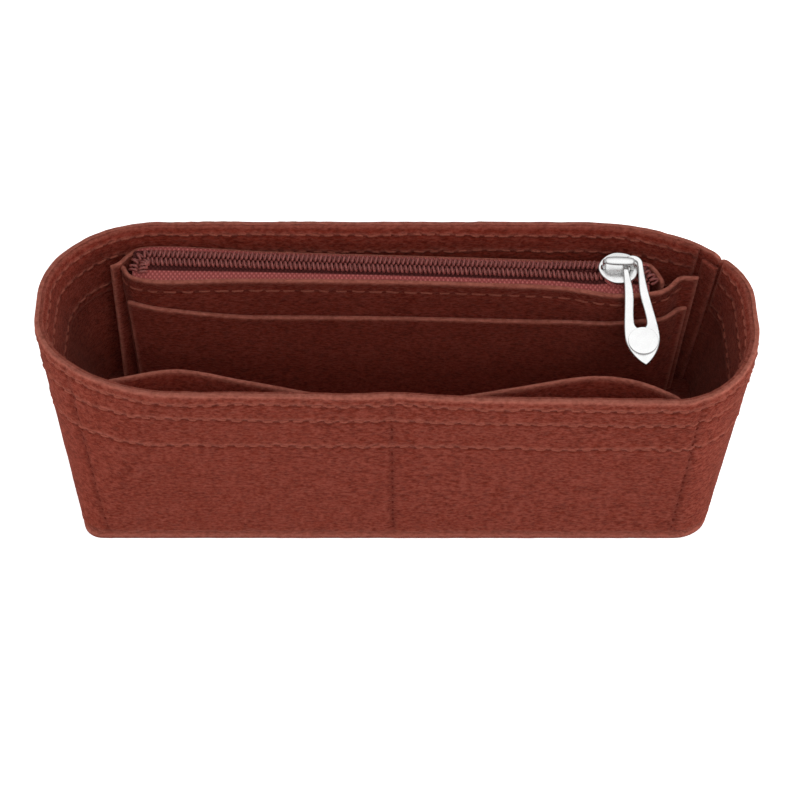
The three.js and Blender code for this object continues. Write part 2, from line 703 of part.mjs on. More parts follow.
function puller() {
  const options = { depth: PULLER_THICKNESS, bevelEnabled: false, curveSegments: 10 };
  const body = new THREE.ExtrudeGeometry(pullerPlan(), options).translate(0, 0, -PULLER_THICKNESS / 2);
  const discHeight = PULLER_THICKNESS / 2 + PULLER_DISC_RISE;
  const disc = new THREE.CylinderGeometry(PULLER_DISC_RADIUS, PULLER_DISC_RADIUS, discHeight, 28)
    .rotateX(Math.PI / 2)
    .translate(0, -PULLER_DISC_AT, discHeight / 2);
  const pivotU = BRIDGE_SPAN[1] - PILLAR / 2;
  const pivotW = PLATE_TOP + BRIDGE_WINDOW / 2 + PULLER_LIFT;
  const place = sliderFrame.clone()
    .multiply(new THREE.Matrix4().makeTranslation(pivotU, 0, pivotW))
    .multiply(new THREE.Matrix4().makeRotationZ(radians(PULLER_YAW)))
    .multiply(new THREE.Matrix4().makeRotationX(radians(PULLER_DROOP)));
  return union([body, disc]).applyMatrix4(place);
}

const organizer = new THREE.Group();

function addPiece(name, geometry, color, roughness, metalness) {
  const material = new THREE.MeshStandardMaterial({ color, roughness, metalness });
  const mesh = new THREE.Mesh(geometry, material);
  mesh.name = name;
  organizer.add(mesh);
}

const addFelt = (name, geometry, colour) => addPiece(name, geometry, colour, 0.95, 0);
const addMetal = (name, geometry) => addPiece(name, geometry, METAL_COLOUR, 0.22, 1);

addFelt('outer_wall', feltWall(), FELT_COLOUR);
addFelt('rim_facing', rimFacing(), FELT_INNER_COLOUR);
addFelt('seam_strip', seamStrip(), FELT_INNER_COLOUR);
addFelt('base_panel', basePanel(), FELT_COLOUR);
addFelt('front_pockets', frontPockets(), FELT_INNER_COLOUR);
addFelt('pouch_back', curvedPanel(POUCH_BACK_CURVE, POUCH_BACK_TOP, 80, 4), FELT_INNER_COLOUR);
addFelt('pouch_front', curvedPanel(POUCH_FRONT_CURVE, POUCH_FRONT_TOP, 80, 4), FELT_INNER_COLOUR);
addFelt('slip_pocket', slipPocket(), FELT_INNER_COLOUR);
addPiece('zip_tape_front', zipTape(-1), TAPE_COLOUR, 0.8, 0);
addPiece('zip_tape_rear', zipTape(1), TAPE_COLOUR, 0.8, 0);
addPiece('zip_coil_front', zipCoil(-1), COIL_COLOUR, 0.5, 0);
addPiece('zip_coil_rear', zipCoil(1), COIL_COLOUR, 0.5, 0);
addMetal('slider_body', sliderBody());
addMetal('slider_bridge', sliderBridge());
addMetal('puller', puller());

export default organizer;
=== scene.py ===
import math

import bmesh
import bpy
import numpy as np
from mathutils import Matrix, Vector


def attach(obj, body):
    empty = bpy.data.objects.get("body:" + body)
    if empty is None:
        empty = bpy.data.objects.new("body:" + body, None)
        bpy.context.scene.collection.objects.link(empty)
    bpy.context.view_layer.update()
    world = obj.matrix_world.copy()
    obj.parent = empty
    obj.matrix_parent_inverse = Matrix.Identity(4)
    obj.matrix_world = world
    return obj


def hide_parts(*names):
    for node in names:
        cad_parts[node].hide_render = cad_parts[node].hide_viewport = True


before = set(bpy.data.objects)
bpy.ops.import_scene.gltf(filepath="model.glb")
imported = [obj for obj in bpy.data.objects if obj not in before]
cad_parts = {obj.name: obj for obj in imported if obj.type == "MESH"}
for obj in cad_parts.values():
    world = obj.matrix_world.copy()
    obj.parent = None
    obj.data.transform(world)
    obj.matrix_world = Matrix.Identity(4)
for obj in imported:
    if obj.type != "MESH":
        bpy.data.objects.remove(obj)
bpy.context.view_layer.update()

# Sizes are in millimetres, in the frame of the solids: X along the rim, Y to the rear, Z up.
MM = 0.001
LEFT = -1
RIGHT = 1
FULL_TURN = 2 * math.pi

# Tub
HEIGHT = 64
RIM_LENGTH = 230
RIM_REAR = 42.8
RIM_FRONT = 41.2
RIM_SKEW = 0.022
BASE_LENGTH = 201
BASE_DEPTH = 80
FELT = 1.6
LAYER_GAP = 0.3
FACING_DEPTH = 24
SEAM_ANGLE = 33
SEAM_SLIT = 0.08
STRIP_REARWARD = 5.6
STRIP_FORWARD = 1.2
STRIP_BASE_SCALE = 0.6
STRIP_GAP = 0.7
STRIP_MARGIN = 1.6
STRIP_BELOW_RIM = 3.4
SHEET_FOOT = 2.0
BASE_TUCK = 0.25

# Corners of the tub: sides along X and Y, radius at the base, radii along X and Y at the rim
CORNERS = {
    "rear_right": (1, 1, 11, 56, 37),
    "rear_left": (-1, 1, 11, 38, 37),
    "front_left": (-1, -1, 6, 48, 38),  # tighter at the base than in the solids
    "front_right": (1, -1, 11, 29, 36),
}

# Waves of the front, which is drawn in at its middle seam
WAVE = 0.44
WAVE_LENGTH = 34
WAVE_ABOVE = 18
WAVE_FORWARD = (20, 36)
WAVE_FROM_ENDS = (8, 30)
DRAWN_IN = 0.9
DRAWN_IN_AT = 1
DRAWN_IN_WIDTH = 11

# Front pockets: distance in from the end of the tub and distance of the sheet from the wall
POCKET_BELOW_RIM = 8
POCKET_FOOT_NARROWING = 0.06
POCKET_CORNER = 11
POCKET_CORNER_DROP = 12
POCKET_BULGE_POWER = 0.8
POCKET_BULGE_LEFT = [(15.2, 0), (21.2, 5.4), (41.2, 15.5), (65.2, 11.1), (87.2, 5.6)]
POCKET_BULGE_RIGHT = [(93.2, 5.2), (76.2, 9.4), (50.2, 15.0), (37.2, 13.0), (25.2, 6.4), (17.2, 0)]

# Zipped pouch: end points are distances in from the end of the tub and forward of its back
POUCH_FRONT_BELOW_RIM = 6.2
POUCH_BACK_BELOW_RIM = 6.4
FELT_TO_CHAIN = 5.0
BACK_ENDS = {
    "left_top": [(20.6, 15.0), (23.4, 13.2), (25.9, 9.6)],
    "left_foot": [(9.6, 12.0), (12.4, 10.6), (14.9, 7.9)],
    "right_top": [(34.4, 13.2), (31.3, 14.0), (29.5, 16.4), (27.9, 20.4), (27.1, 22.8)],
    "right_foot": [(23.9, 9.1), (21.3, 10.0), (19.5, 11.0), (18.1, 11.9), (17.3, 12.5)],
}
BACK_FOOT_LEFT = (20, 6.1)
BACK_FOOT_RIGHT = (30.9, 7.9)
BACK_RUN_START = 2
BACK_RUN_SHARES = (0.3, 0.7)
FRONT_ENDS = {
    "left_top": [(24.5, 14.9), (27.1, 19.6)],
    "left_foot": [(15.0, 11.8), (18.0, 12.8)],
    "right_top": [
        (28.4, 27.4), (25.9, 25.8), (24.1, 23.8), (22.3, 21.4), (20.6, 20.3), (18.0, 20.5), (15.4, 20.5),
    ],
    "right_foot": [
        (18.9, 14.2), (17.0, 14.6), (15.4, 14.4), (13.6, 13.8), (12.0, 13.2), (10.2, 12.5), (8.4, 11.7),
    ],
}
FRONT_FOOT_FORWARD = 13.2
FRONT_FOOT_TAPER = 0.3
FRONT_BOW_LEFT = [(6, 3.2), (36, 1.5), (84, 0)]
FRONT_BOW_RIGHT = [(52, 0), (29, 0.5), (11, 3.4), (2, 2.3)]
SLIP_SLACK = 0.6
SLIP_ENDS = {
    "left_top": [(25.5, 21.9)],
    "left_foot": [(15.9, 14.5)],
    "right_top": [(27.6, 29.9), (24.3, 27.8), (22.2, 25.5), (20.2, 23.4), (17.4, 23.1)],
    "right_foot": [(18.4, 16.8), (16.4, 17.1), (14.6, 16.9), (12.9, 16.3), (10.6, 15.6)],
}
SLIP_MIDDLE_BELOW_RIM = 21.7
SLIP_LEFT_RISE = (5.5, 0, 0.23)
SLIP_RIGHT_RISE = (3.6, 0.08, 0.3)

# Zip fastener, in its own frame: u along the chain, v across it to the rear, w up from the tape
ZIP_BELOW_RIM = 6
ZIP_FORWARD = 15.9
ZIP_YAW = -2.6
ZIP_TILT = 12
CHAIN_IN_LEFT = 27.8
CHAIN_IN_RIGHT = 31.6
TAPE = 0.5
TAPE_EDGE = 0.6
TAPE_TURN_DOWN = 7.5
TAPE_TURN_RADIUS = 1.0
TAPE_RIB = 0.05
TAPE_RIB_PITCH = 0.9
# Painted shadow on the tape: a dark line just beside the coil, and painted shade on the tape under the coil
COIL_SHADOW_FROM_COIL = 0.1
COIL_SHADOW_WIDTH = 0.2
COIL_SHADOW_DARK = 0.8
UNDER_COIL_SHADE = 0.85
COIL_WIDTH = 3.3
COIL_HEIGHT = 1.9
COIL_SPACING = -0.2
COIL_PITCH = 1.5
COIL_WIRE = 0.9
COIL_TAIL = 3
TAIL_BEND_AT = 76
TAIL_BEND_RADIUS = 7
COIL_HEAD = 3.2
HEAD_BEND_FROM_START = 5.7
HEAD_BEND_RADIUS = 3.4
CHAIN_SPREAD = 0.8
SPREAD_LENGTH = 18
SPREAD_RETURN = 5
SPREAD_AHEAD = 8.2

# Slider, with a plate wider than in the solids, skirts along its sides and an eye in its nose
SLIDER_FROM_CHAIN_END = 9.8
SLIDER_LENGTH = 12.8
SLIDER_WIDTH = 10.8
SLIDER_PLATE = 0.9
PLATE_LOOK_WIDTH = 12.2
PLATE_LOOK_SHIFT = -0.25
PLATE_CROWN = 0.15
PLATE_BEVEL = 0.28
TOP_PLATE_FLOOR = 2.5
FOOT_PLATE_CEILING = -0.9
FOOT_PLATE_WIDTH = 7.0
FOOT_PLATE_LENGTH = 12.0
FOOT_PLATE_BEVEL = 0.3
POST_THICKNESS = 0.5
POST_SPAN = (-5.2, -2.6)
POST_SINK = 0.4
POST_BEVEL = 0.1
LIP_LENGTH = 3.6
LIP_AT = -0.6
LIP_INSET = 0.7
LIP_THICKNESS = 0.6
LIP_CLEARANCE = 0.4
LIP_SINK = 0.2
LIP_BEVEL = 0.12
SKIRT_REACH = 4.6
SKIRT_THICKNESS = 0.7
SKIRT_DROP = 1.2
SKIRT_BEVEL = 0.2
NOSE_EYE_AT = -5.35
NOSE_EYE = (0.45, 0.95)

# Bridge of the slider, with a rounded cap over its bar
BRIDGE_BAR = 1.2
BRIDGE_WINDOW = 2.9
BRIDGE_SPAN = (-5.4, 4.9)
BRIDGE_SHOULDER = 2.0
BRIDGE_SHOULDER_DROP = 0.6
BRIDGE_SHOULDER_HANDLE = 0.8
BRIDGE_TOP_DROP = 0.2
BRIDGE_SINK = 0.05
BRIDGE_BEVEL = 0.4
PILLAR = 1.2
PILLAR_WIDTH = 1.9
CAP_WIDTH = 3.4
CAP_SPAN = (-4.5, 4.7)
CAP_LIFT = 0.1
CAP_SWELL = 0.15
CAP_ROUNDING = 0.35

# Puller
PULLER_THICKNESS = 1.4
PULLER_BEVEL = 0.42
PULLER_DROOP = 7.5
PULLER_YAW = 7.3
PULLER_LIFT = 0.2
RING_INNER = 1.6
RING_OUTER = 3.3
PULLER_HALF_WIDTH = 5.6
PULLER_TIP = 36.6
DISC_AT = 28.2
DISC_RADIUS = 4.8
DISC_RISE = 0.75
DISC_BEVEL = 0.12
NECK_HANDLE = 12
FLARE_HANDLE = 20
FLARE_ABOVE_DISC = 2
BELLY_HANDLE = 2.5
TIP_HANDLE = (2.4, 1.5)
WINDOW_END = 24.2
WINDOW_ROUNDING = 3
WINDOW_WAIST = 1.0
WINDOW_WAIST_AT = 10
WINDOW_HALF_WIDTH = 2.0
WINDOW_HANDLES = (4, 6, 14, 17)

# Sewing: upright seams run from a place along X and a height to another
ROWS_BELOW_RIM = (3.4, 10, 21)
ROW_OFFSET = 1.7
ROW_SWING = 0.28
ROW_SWING_LENGTH = 15
ROW_UNEVENNESS = 0.35
ROW_UNEVENNESS_LENGTH = 3.1
ROW_STRAY = 0.4
ROW_STRAY_LENGTH = 23
ROW_WAVER = 0.22
ROW_WAVER_LENGTH = 6
BASE_ROW_HEIGHT = 3.6
BASE_ROW_SEED = 7
POUCH_ROW_BELOW_EDGE = 4.2
SEAM_LINES = {
    "left": [(-102.3, 60.0), (-92.6, 5.0)],
    "middle": [(-1.5, 62.0), (-1.0, 2.0)],
    "right": [(94.1, 57.0), (88.3, 5.0)],
}
SEAM_WIDTH = 1.0
SEAM_DEPTH = 0.4
# Painted shade along the upright seams
SEAM_DARK = 0.5
SEAM_FADE = (1.5, 5)
SEAM_THREAD_SPAN = (4, 60)
SEAM_THREAD_STEP = 0.5
STITCH_PITCH = 4.8
STITCH_SHARE = 0.74
SEAM_PITCH = 3.7
SEAM_STITCH_SHARE = 0.42
POUCH_STITCH_PITCH = 5.6
POUCH_STITCH_SHARE = 0.86
THREAD = 0.85
SEAM_THREAD = 0.95
BASE_THREAD = 0.45
STITCH_BOW = 0.12
STITCH_LENGTH_CHANGE = 0.16
STITCH_SINK = 0.16
STITCH_SHIFT = 0.3
STITCH_LEAN = 0.2

# Felt: unevenness as heights and sizes, rounded and pinched edges, lighter cut edges (paler felt with
# painted highlight), painted highlight and painted shade
FELT_RELIEF = ((0.06, 2.3), (0.07, 7))
RIM_RELIEF = ((0.14, 6), (0.1, 2.1))
RIM_RELIEF_DEPTH = 4
CREASE = 0.16
CREASE_SIZE = (9, 9, 1.7)
CREASE_ABOVE = (28, 46)
CREASE_LEFT_SHARE = 0.35
CREASE_RIGHT_FROM = (40, 85)
EDGE_ROUNDING = 0.7
EDGE_ROUNDING_POWER = 2.6
EDGE_RINGS = 4
# Width of the lighter band along cut edges: paler cut felt, with painted highlight where the edges catch the
# light
EDGE_LIGHTENING = 0.9
SQUARE_EDGE = 40
RIM_PINCH = 0.25
FACING_PINCH = 0.6
RIM_PINCH_DEPTH = 3
FACING_TOP_DROP = 0.25
FACING_END_THINNING = 0.65
FACING_END_LENGTH = 8
SEAM_ROUNDING = 3.2
SEAM_ROUNDING_DROP = 1.5
SEAM_ROUNDING_POWER = 8
TOUCH_FADE = 4
# Fold under the pouch front's top edge: a shallow dip with painted shade in it
FOLD_SHARE = 0.5
FOLD_WIDTH = 0.9
FOLD_DEPTH = 0.25
FOLD_DARK = 0.6
# How strongly the cut edges of the rim facing and of the seam strip are lightened; the facing's top is kept
# darker, as painted shade
FACING_LIGHTENING = 0.45
STRIP_LIGHTENING = 0.3
# Painted highlight on the roll of felt above each row of stitches
ROW_HIGHLIGHT = 0.4
# Height of the painted light from the floor along the wall's foot
FOOT_PAINTED_LIGHT = 2.7
# Painted shade on the base, darkest along the walls
BASE_BORDER = 12
BASE_BORDER_DARK = 0.9
# Painted shade in the groove of the row of stitches round the foot
BASE_ROW_DARK = 0.8
# Painted contact shadow along the wall's foot
CONTACT_REACH = 1.1
CONTACT_DARK = 0.95

# Mesh fineness
STEP = 1.0
FINE_STEP = 0.4
ROW_REACH = 2.4
SEAM_REACH = 6
TAPE_STEP = 0.6
# finer mesh along the painted shadow line beside the coil
COIL_SHADOW_REACH = 1.2
COIL_SHADOW_STEP = 0.15
TAPE_TURN_POINTS = 7
TAPE_FLAT_POINTS = 8
BASE_CORE = 60
BASE_FILL = 0.98
SMALLEST_LOOP = 0.02
SWEEP_SAMPLES = 400
CURVE_SAMPLES = 2000
SLICE_SAMPLES = 3000
THREAD_SIDES = 6
THREAD_RINGS = 8
COIL_SIDES = 6
COIL_STEPS = 16
CAP_SIDES = 20
CAP_RINGS = 19
SHEET_CREASE_ANGLE = 60
CASTING_CREASE_ANGLE = 42

# Surroundings: their strength as soft light and in reflections, and the floor
AMBIENT = 0.2
MIRRORED_HORIZON = 0.3
MIRRORED_OVERHEAD = 1.15
MIRRORED_FROM = (0.5, 0.95)
FLOOR_GLOW = 0.8
FLOOR_REACH = 4000

# Lamps, in metres and watts: place, height of the target, size, power
LAMPS = {
    "key": ((0.0, -1.25, 0.27), 0.05, (1.4, 0.5), 1.0),
    "right": ((1.45, -0.28, 0.12), 0.04, (0.9, 0.2), 14.5),
    "left": ((-1.45, -0.28, 0.12), 0.04, (0.9, 0.2), 13.5),
    "rear": ((0.2, 1.25, 0.8), 0.03, (1.0, 0.6), 4.5),
    "fill": ((0.15, -1.0, 1.05), 0.03, (1.0, 0.8), 9.2),
    "top": ((0.2, -0.1, 1.4), 0.03, (1.2, 1.2), 1.2),
}

# Camera, from a fit to the photograph
CAMERA_ELEVATION = 44
CAMERA_DISTANCE = 1000
CAMERA_TARGET = (0, 0, 32)
CAMERA_CLIP = (0.05, 20)
FOCAL_PIXELS = 3080
IMAGE_PIXELS = 800
CENTRE_PIXELS = (396, 381.5)
SENSOR = 36


def mix(a, b, share):
    return a + (b - a) * share


def smoothstep(x, low, high):
    share = np.clip((x - low) / (high - low), 0, 1)
    return share * share * (3 - 2 * share)


def bell(x, width):
    return np.exp(-((x / width) ** 2))


def unit(vectors):
    return vectors / np.maximum(np.linalg.norm(vectors, axis=-1, keepdims=True), 1e-9)


def run_along(line):
    """Distance of each point of a line from its start."""
    return np.concatenate([[0], np.cumsum(np.linalg.norm(np.diff(line, axis=0), axis=1))])


def resampled(places, run, values):
    """Rows of values at other places along a run."""
    return np.stack([np.interp(places, run, column) for column in values.T], axis=-1)


def lattice(cells, seed):
    """Repeatable pseudo-random number from 0 to 1 for each whole-number cell."""
    x, y, z = (cells[..., k].astype(np.uint32) for k in range(3))
    mixed = x * np.uint32(374761393) + y * np.uint32(668265263) + z * np.uint32(1274126177)
    mixed = mixed + np.uint32(seed * 97531 + 12345)
    mixed = (mixed ^ (mixed >> np.uint32(13))) * np.uint32(1103515245)
    mixed = mixed ^ (mixed >> np.uint32(16))
    return (mixed & np.uint32(0xFFFF)).astype(float) / 65535


def noise(points, size, seed=0):
    """Smooth noise from -1 to 1 with features of a given size."""
    scaled = np.asarray(points, float) / size + 1000
    cell = np.floor(scaled).astype(np.int64)
    share = smoothstep(scaled - cell, 0, 1)
    total = 0
    for corner in np.ndindex(2, 2, 2):
        weight = np.prod(np.where(np.array(corner) == 1, share, 1 - share), axis=-1)
        total = total + weight * lattice(cell + np.array(corner), seed)
    return 2 * total - 1


def flat_points(x, z=0):
    """Points for noise that depends on one or two numbers only."""
    x, z = np.broadcast_arrays(np.asarray(x, float), np.asarray(z, float))
    return np.stack([x, np.zeros_like(x), z], axis=-1)


def layered_noise(layers, points, seed):
    """Sum of noises, each with a height and a size."""
    return sum(height * noise(points, size, seed + number) for number, (height, size) in enumerate(layers))


# Outline of the tub


def half_length_at(level):
    return mix(BASE_LENGTH, RIM_LENGTH, level) / 2


def rear_at(level):
    return mix(BASE_DEPTH / 2, RIM_REAR, level)


def front_at(level):
    return mix(BASE_DEPTH / 2, RIM_FRONT, level)


def corner_at(name, level):
    """Centre and radii of a corner of the outline, at a level from 0 at the base to 1 at the rim."""
    side_x, side_y, base_radius, *rim_radii = CORNERS[name]
    radius_x, radius_y = (mix(base_radius, rim_radius, level) for rim_radius in rim_radii)
    reach = rear_at(level) if side_y > 0 else front_at(level)
    return side_x * (half_length_at(level) - radius_x), side_y * (reach - radius_y), radius_x, radius_y


def skewed(x, y, level):
    forward = (rear_at(level) - y) / (rear_at(level) + front_at(level))
    return np.stack([x, y - RIM_SKEW * x * forward * level], axis=-1)


def corner_points(name, degrees, inset, level):
    x, y, radius_x, radius_y = corner_at(name, level)
    turn = np.radians(degrees)
    return skewed(x + (radius_x - inset) * np.cos(turn), y + (radius_y - inset) * np.sin(turn), level)


def seam_degrees(level, length):
    """Turn round the rear right corner that a length at the seam makes."""
    _, _, radius_x, radius_y = corner_at("rear_right", level)
    turn = math.radians(SEAM_ANGLE)
    return math.degrees(length / math.hypot(radius_x * math.sin(turn), radius_y * math.cos(turn)))


def even_shares(name, start, end):
    """Shares of a corner's sweep that lie evenly along the rim."""
    shares = np.linspace(0, 1, SWEEP_SAMPLES)
    run = run_along(corner_points(name, mix(start, end, shares), 0, 1))
    count = max(4, int(math.ceil(run[-1] / STEP)))
    return np.interp(np.linspace(0, run[-1], count + 1), run, shares)


SWEEPS = [
    ("rear_right", SEAM_ANGLE, 90),
    ("rear_left", 90, 180),
    ("front_left", 180, 270),
    ("front_right", 270, 360),
    ("rear_right", 0, SEAM_ANGLE),
]
SWEEP_SHARES = [even_shares(*sweep) for sweep in SWEEPS]
RIM_ARCS = [corner_points(n, mix(a, b, s), 0, 1) for (n, a, b), s in zip(SWEEPS, SWEEP_SHARES)]


def tub_ring(level, inset, trim_rear, trim_front):
    """Points round the tub from one side of the seam to the other."""
    arcs = []
    for number, (name, start, end) in enumerate(SWEEPS):
        if number == 0:
            start = SEAM_ANGLE + seam_degrees(level, trim_rear)
        if number == len(SWEEPS) - 1:
            end = SEAM_ANGLE - seam_degrees(level, trim_front)
        arcs.append(corner_points(name, mix(start, end, SWEEP_SHARES[number]), inset, level))
    pieces = [arcs[0]]
    for number in range(1, len(arcs)):
        span = np.linalg.norm(RIM_ARCS[number][0] - RIM_ARCS[number - 1][-1])
        shares = np.linspace(0, 1, max(2, int(math.ceil(span / STEP))) + 1)[1:-1, None]
        pieces.append(mix(arcs[number - 1][-1], arcs[number][0], shares))
        pieces.append(arcs[number])
    return np.concatenate(pieces)


def apply_wave(points):
    """Waves the front of a layer of the tub, fading out towards its ends and its middle."""
    x, y, z = np.moveaxis(points, -1, 0)
    rise = smoothstep(z, WAVE_ABOVE, HEIGHT)
    wave = WAVE * noise(flat_points(x), WAVE_LENGTH, seed=3) * rise
    drawn = DRAWN_IN * bell(x - DRAWN_IN_AT, DRAWN_IN_WIDTH) * rise
    share = smoothstep(-y, *WAVE_FORWARD) * smoothstep(RIM_LENGTH / 2 - np.abs(x), *WAVE_FROM_ENDS)
    moved = points.copy()
    moved[..., 1] -= share * (wave - drawn)
    return moved


# Meshes


def edge_places(length, step=STEP):
    """Places along a sheet, closer together near its two rounded edges."""
    rounding = EDGE_ROUNDING * (1 - np.cos(np.linspace(0, math.pi / 2, EDGE_RINGS + 1)))
    inner = length - 2 * EDGE_ROUNDING
    count = max(2, int(math.ceil(inner / step)))
    middle = EDGE_ROUNDING + np.linspace(0, inner, count + 1)[1:-1]
    return np.concatenate([rounding, middle, length - rounding[::-1]])


def closer_places(places, spots, reach, step):
    """Places along a sheet with closer ones within a reach of some spots."""
    spots = np.asarray(spots, float)
    near = np.min(np.abs(places[:, None] - spots[None, :]), axis=1) < reach + step / 2
    ends = (places <= EDGE_ROUNDING) | (places >= places[-1] - EDGE_ROUNDING)
    fine = np.concatenate([np.arange(spot - reach, spot + reach + step / 2, step) for spot in spots])
    fine = fine[(fine > EDGE_ROUNDING) & (fine < places[-1] - EDGE_ROUNDING)]
    return np.unique(np.concatenate([places[~near | ends], fine]))


def edge_profile(distance):
    """Share of the full thickness at a distance from a cut edge."""
    inside = np.clip(1 - distance / EDGE_ROUNDING, 0, 1)
    return np.sqrt(np.maximum(0, 1 - inside ** EDGE_ROUNDING_POWER))


def quads(index):
    """Faces between neighbours in a grid of point numbers."""
    corners = [index[:-1, :-1], index[1:, :-1], index[1:, 1:], index[:-1, 1:]]
    return np.stack(corners, axis=-1).reshape(-1, 4)


def ring_quads(index):
    """Faces between neighbouring rings of points."""
    return quads(np.concatenate([index, index[:, :1]], axis=1).T)


def tube(line, across, up, sides):
    """Points and faces of a closed tube round a line, with oval sections."""
    turns = np.linspace(0, FULL_TURN, sides, endpoint=False)[:, None]
    points = line[:, None] + across[:, None] * np.cos(turns) + up[:, None] * np.sin(turns)
    index = np.arange(len(line) * sides).reshape(len(line), sides)
    faces = ring_quads(index).tolist() + [index[0, ::-1].tolist(), index[-1].tolist()]
    return points.reshape(-1, 3), faces


def merged(parts):
    """Points and faces of several parts in one list each."""
    vertices = []
    faces = []
    for part_vertices, part_faces in parts:
        first = len(vertices)
        vertices.extend(np.asarray(part_vertices).tolist())
        faces.extend([[index + first for index in face] for face in part_faces])
    return vertices, faces


def make_mesh(name, vertices, faces, attributes=None):
    mesh = bpy.data.meshes.new(name)
    mesh.from_pydata((np.asarray(vertices) * MM).tolist(), [], faces)
    mesh.validate()
    for key, values in (attributes or {}).items():
        layer = mesh.attributes.new(key, "FLOAT", "POINT")
        layer.data.foreach_set("value", np.asarray(values, dtype=np.float32))
    mesh.polygons.foreach_set("use_smooth", [True] * len(mesh.polygons))
    mesh.update()
    piece = bpy.data.objects.new(name, mesh)
    bpy.context.scene.collection.objects.link(piece)
    return piece


def weld(piece):
    work = bmesh.new()
    work.from_mesh(piece.data)
    bmesh.ops.remove_doubles(work, verts=work.verts, dist=1e-6)
    bmesh.ops.recalc_face_normals(work, faces=work.faces)
    work.to_mesh(piece.data)
    work.free()


def crease(piece, degrees):
    piece.data.set_sharp_from_angle(angle=math.radians(degrees))


def felt_sheet(
    name, middle, along, up, thickness=FELT, front=0, back=0, painted_shade_front=0, painted_shade_back=0, highlight_front=0,
    highlight_back=0, square=None, edge_lightening=1, lighten_ends=True, lighten_foot=True, inside_front=1,
):
    """Closed sheet with rounded edges round a middle surface.

    The middle surface is a grid of points; along and up are its places in millimetres, front and back
    are how far each face stands out from the plain thickness, the two after them give painted shade on
    each face, in its grooves, folds and other shaded places, and the next two give painted highlight.
    Its cut edges are made lighter, partly as paler cut felt and partly as painted highlight, and
    inside_front marks the face that takes the painted shade of the tub's inside.
    The edges of the face named by square are hardly rounded, because it lies on another sheet."""
    normals = unit(np.cross(np.gradient(middle, axis=0), np.gradient(middle, axis=1)))
    shape = middle.shape[:2]
    from_ends = np.minimum(along, along[-1] - along)
    from_rims = np.minimum(up, up[-1] - up)
    # Cut edges are made lighter: paler cut felt, with painted highlight where they catch the light
    lightening_distance = np.broadcast_to(from_rims if lighten_foot else up[-1] - up, shape)
    if lighten_ends:
        lightening_distance = np.minimum(lightening_distance, from_ends[:, None])
    lightening = edge_lightening * bell(lightening_distance, EDGE_LIGHTENING)

    def face(kind, swell):
        sharper = SQUARE_EDGE if kind == square else 1
        profile = edge_profile(sharper * from_ends)[:, None] * edge_profile(sharper * from_rims)[None, :]
        return normals * (profile * (thickness / 2 + swell))[..., None]

    def both(front_value, back_value):
        front_value = np.broadcast_to(front_value, shape)
        back_value = np.broadcast_to(back_value, shape)
        return np.concatenate([front_value.ravel(), back_value[1:-1, 1:-1].ravel()])

    front_points = middle + face("front", front)
    back_points = middle - face("back", back)
    front_index = np.arange(shape[0] * shape[1]).reshape(shape)
    back_index = front_index.copy()
    inner = back_index[1:-1, 1:-1]
    inner[...] = front_index.size + np.arange(inner.size).reshape(inner.shape)
    vertices = np.concatenate([front_points.reshape(-1, 3), back_points[1:-1, 1:-1].reshape(-1, 3)])
    faces = quads(front_index).tolist() + quads(back_index)[:, ::-1].tolist()
    attributes = {
        # lighter cut edges, paler felt with painted highlight, and the painted highlight and light given for
        # each face
        "edge": both(np.maximum(lightening, highlight_front), np.maximum(lightening, highlight_back)),
        # painted shade on each face
        "seam": both(painted_shade_front, painted_shade_back),
        # the inside of the tub, which takes a painted shade tint
        "inside": both(inside_front, 1),
    }
    piece = make_mesh(name, vertices, faces, attributes)
    if square:
        crease(piece, SHEET_CREASE_ANGLE)
    return piece, front_points, back_points, normals


def felt_relief(points, seed):
    """Unevenness of the felt's surface."""
    return layered_noise(FELT_RELIEF, points, seed)


def band_creases(points):
    """Shallow creases along the upper part of the wall, deepest round its front right corner."""
    share = smoothstep(points[..., 2], *CREASE_ABOVE)
    share = share * mix(CREASE_LEFT_SHARE, 1, smoothstep(points[..., 0], *CREASE_RIGHT_FROM))
    return CREASE * noise(points / np.array(CREASE_SIZE), 1, seed=16) * share


def sewn_groove(distance, run, pitch, depth, width):
    """Relief of a row of stitches in the felt, with its painted shade and painted highlight shares for the
    material.

    The groove, the roll beside it and the needle holes are placed and sized by shares of the width."""
    phase = FULL_TURN * run / pitch
    swing = ROW_SWING + ROW_SWING * noise(flat_points(run), ROW_SWING_LENGTH, seed=11)
    unevenness = ROW_UNEVENNESS * noise(flat_points(run), ROW_UNEVENNESS_LENGTH, seed=12)
    wavering = distance + swing * np.cos(phase) + unevenness
    holes = bell(distance, 0.7 * width) * np.maximum(0, np.cos(phase)) ** 3
    groove = bell(wavering + 0.55 * width, 0.6 * width)
    roll = bell(wavering - 0.6 * width, 0.7 * width)
    relief = depth * (0.4 * roll - 0.8 * groove - 0.6 * holes)
    # Painted shade in the groove below the row and in the needle holes; the roll above it gives the painted
    # highlight
    return relief, np.clip(0.95 * groove + 0.5 * holes, 0, 1), roll


def upright_seam(distance, z):
    """Relief of an upright seam, with its share of painted shade: a shallow line that fades out at the foot.
    """
    line = bell(distance, SEAM_WIDTH) * smoothstep(z, *SEAM_FADE)
    return -SEAM_DEPTH * line, SEAM_DARK * line


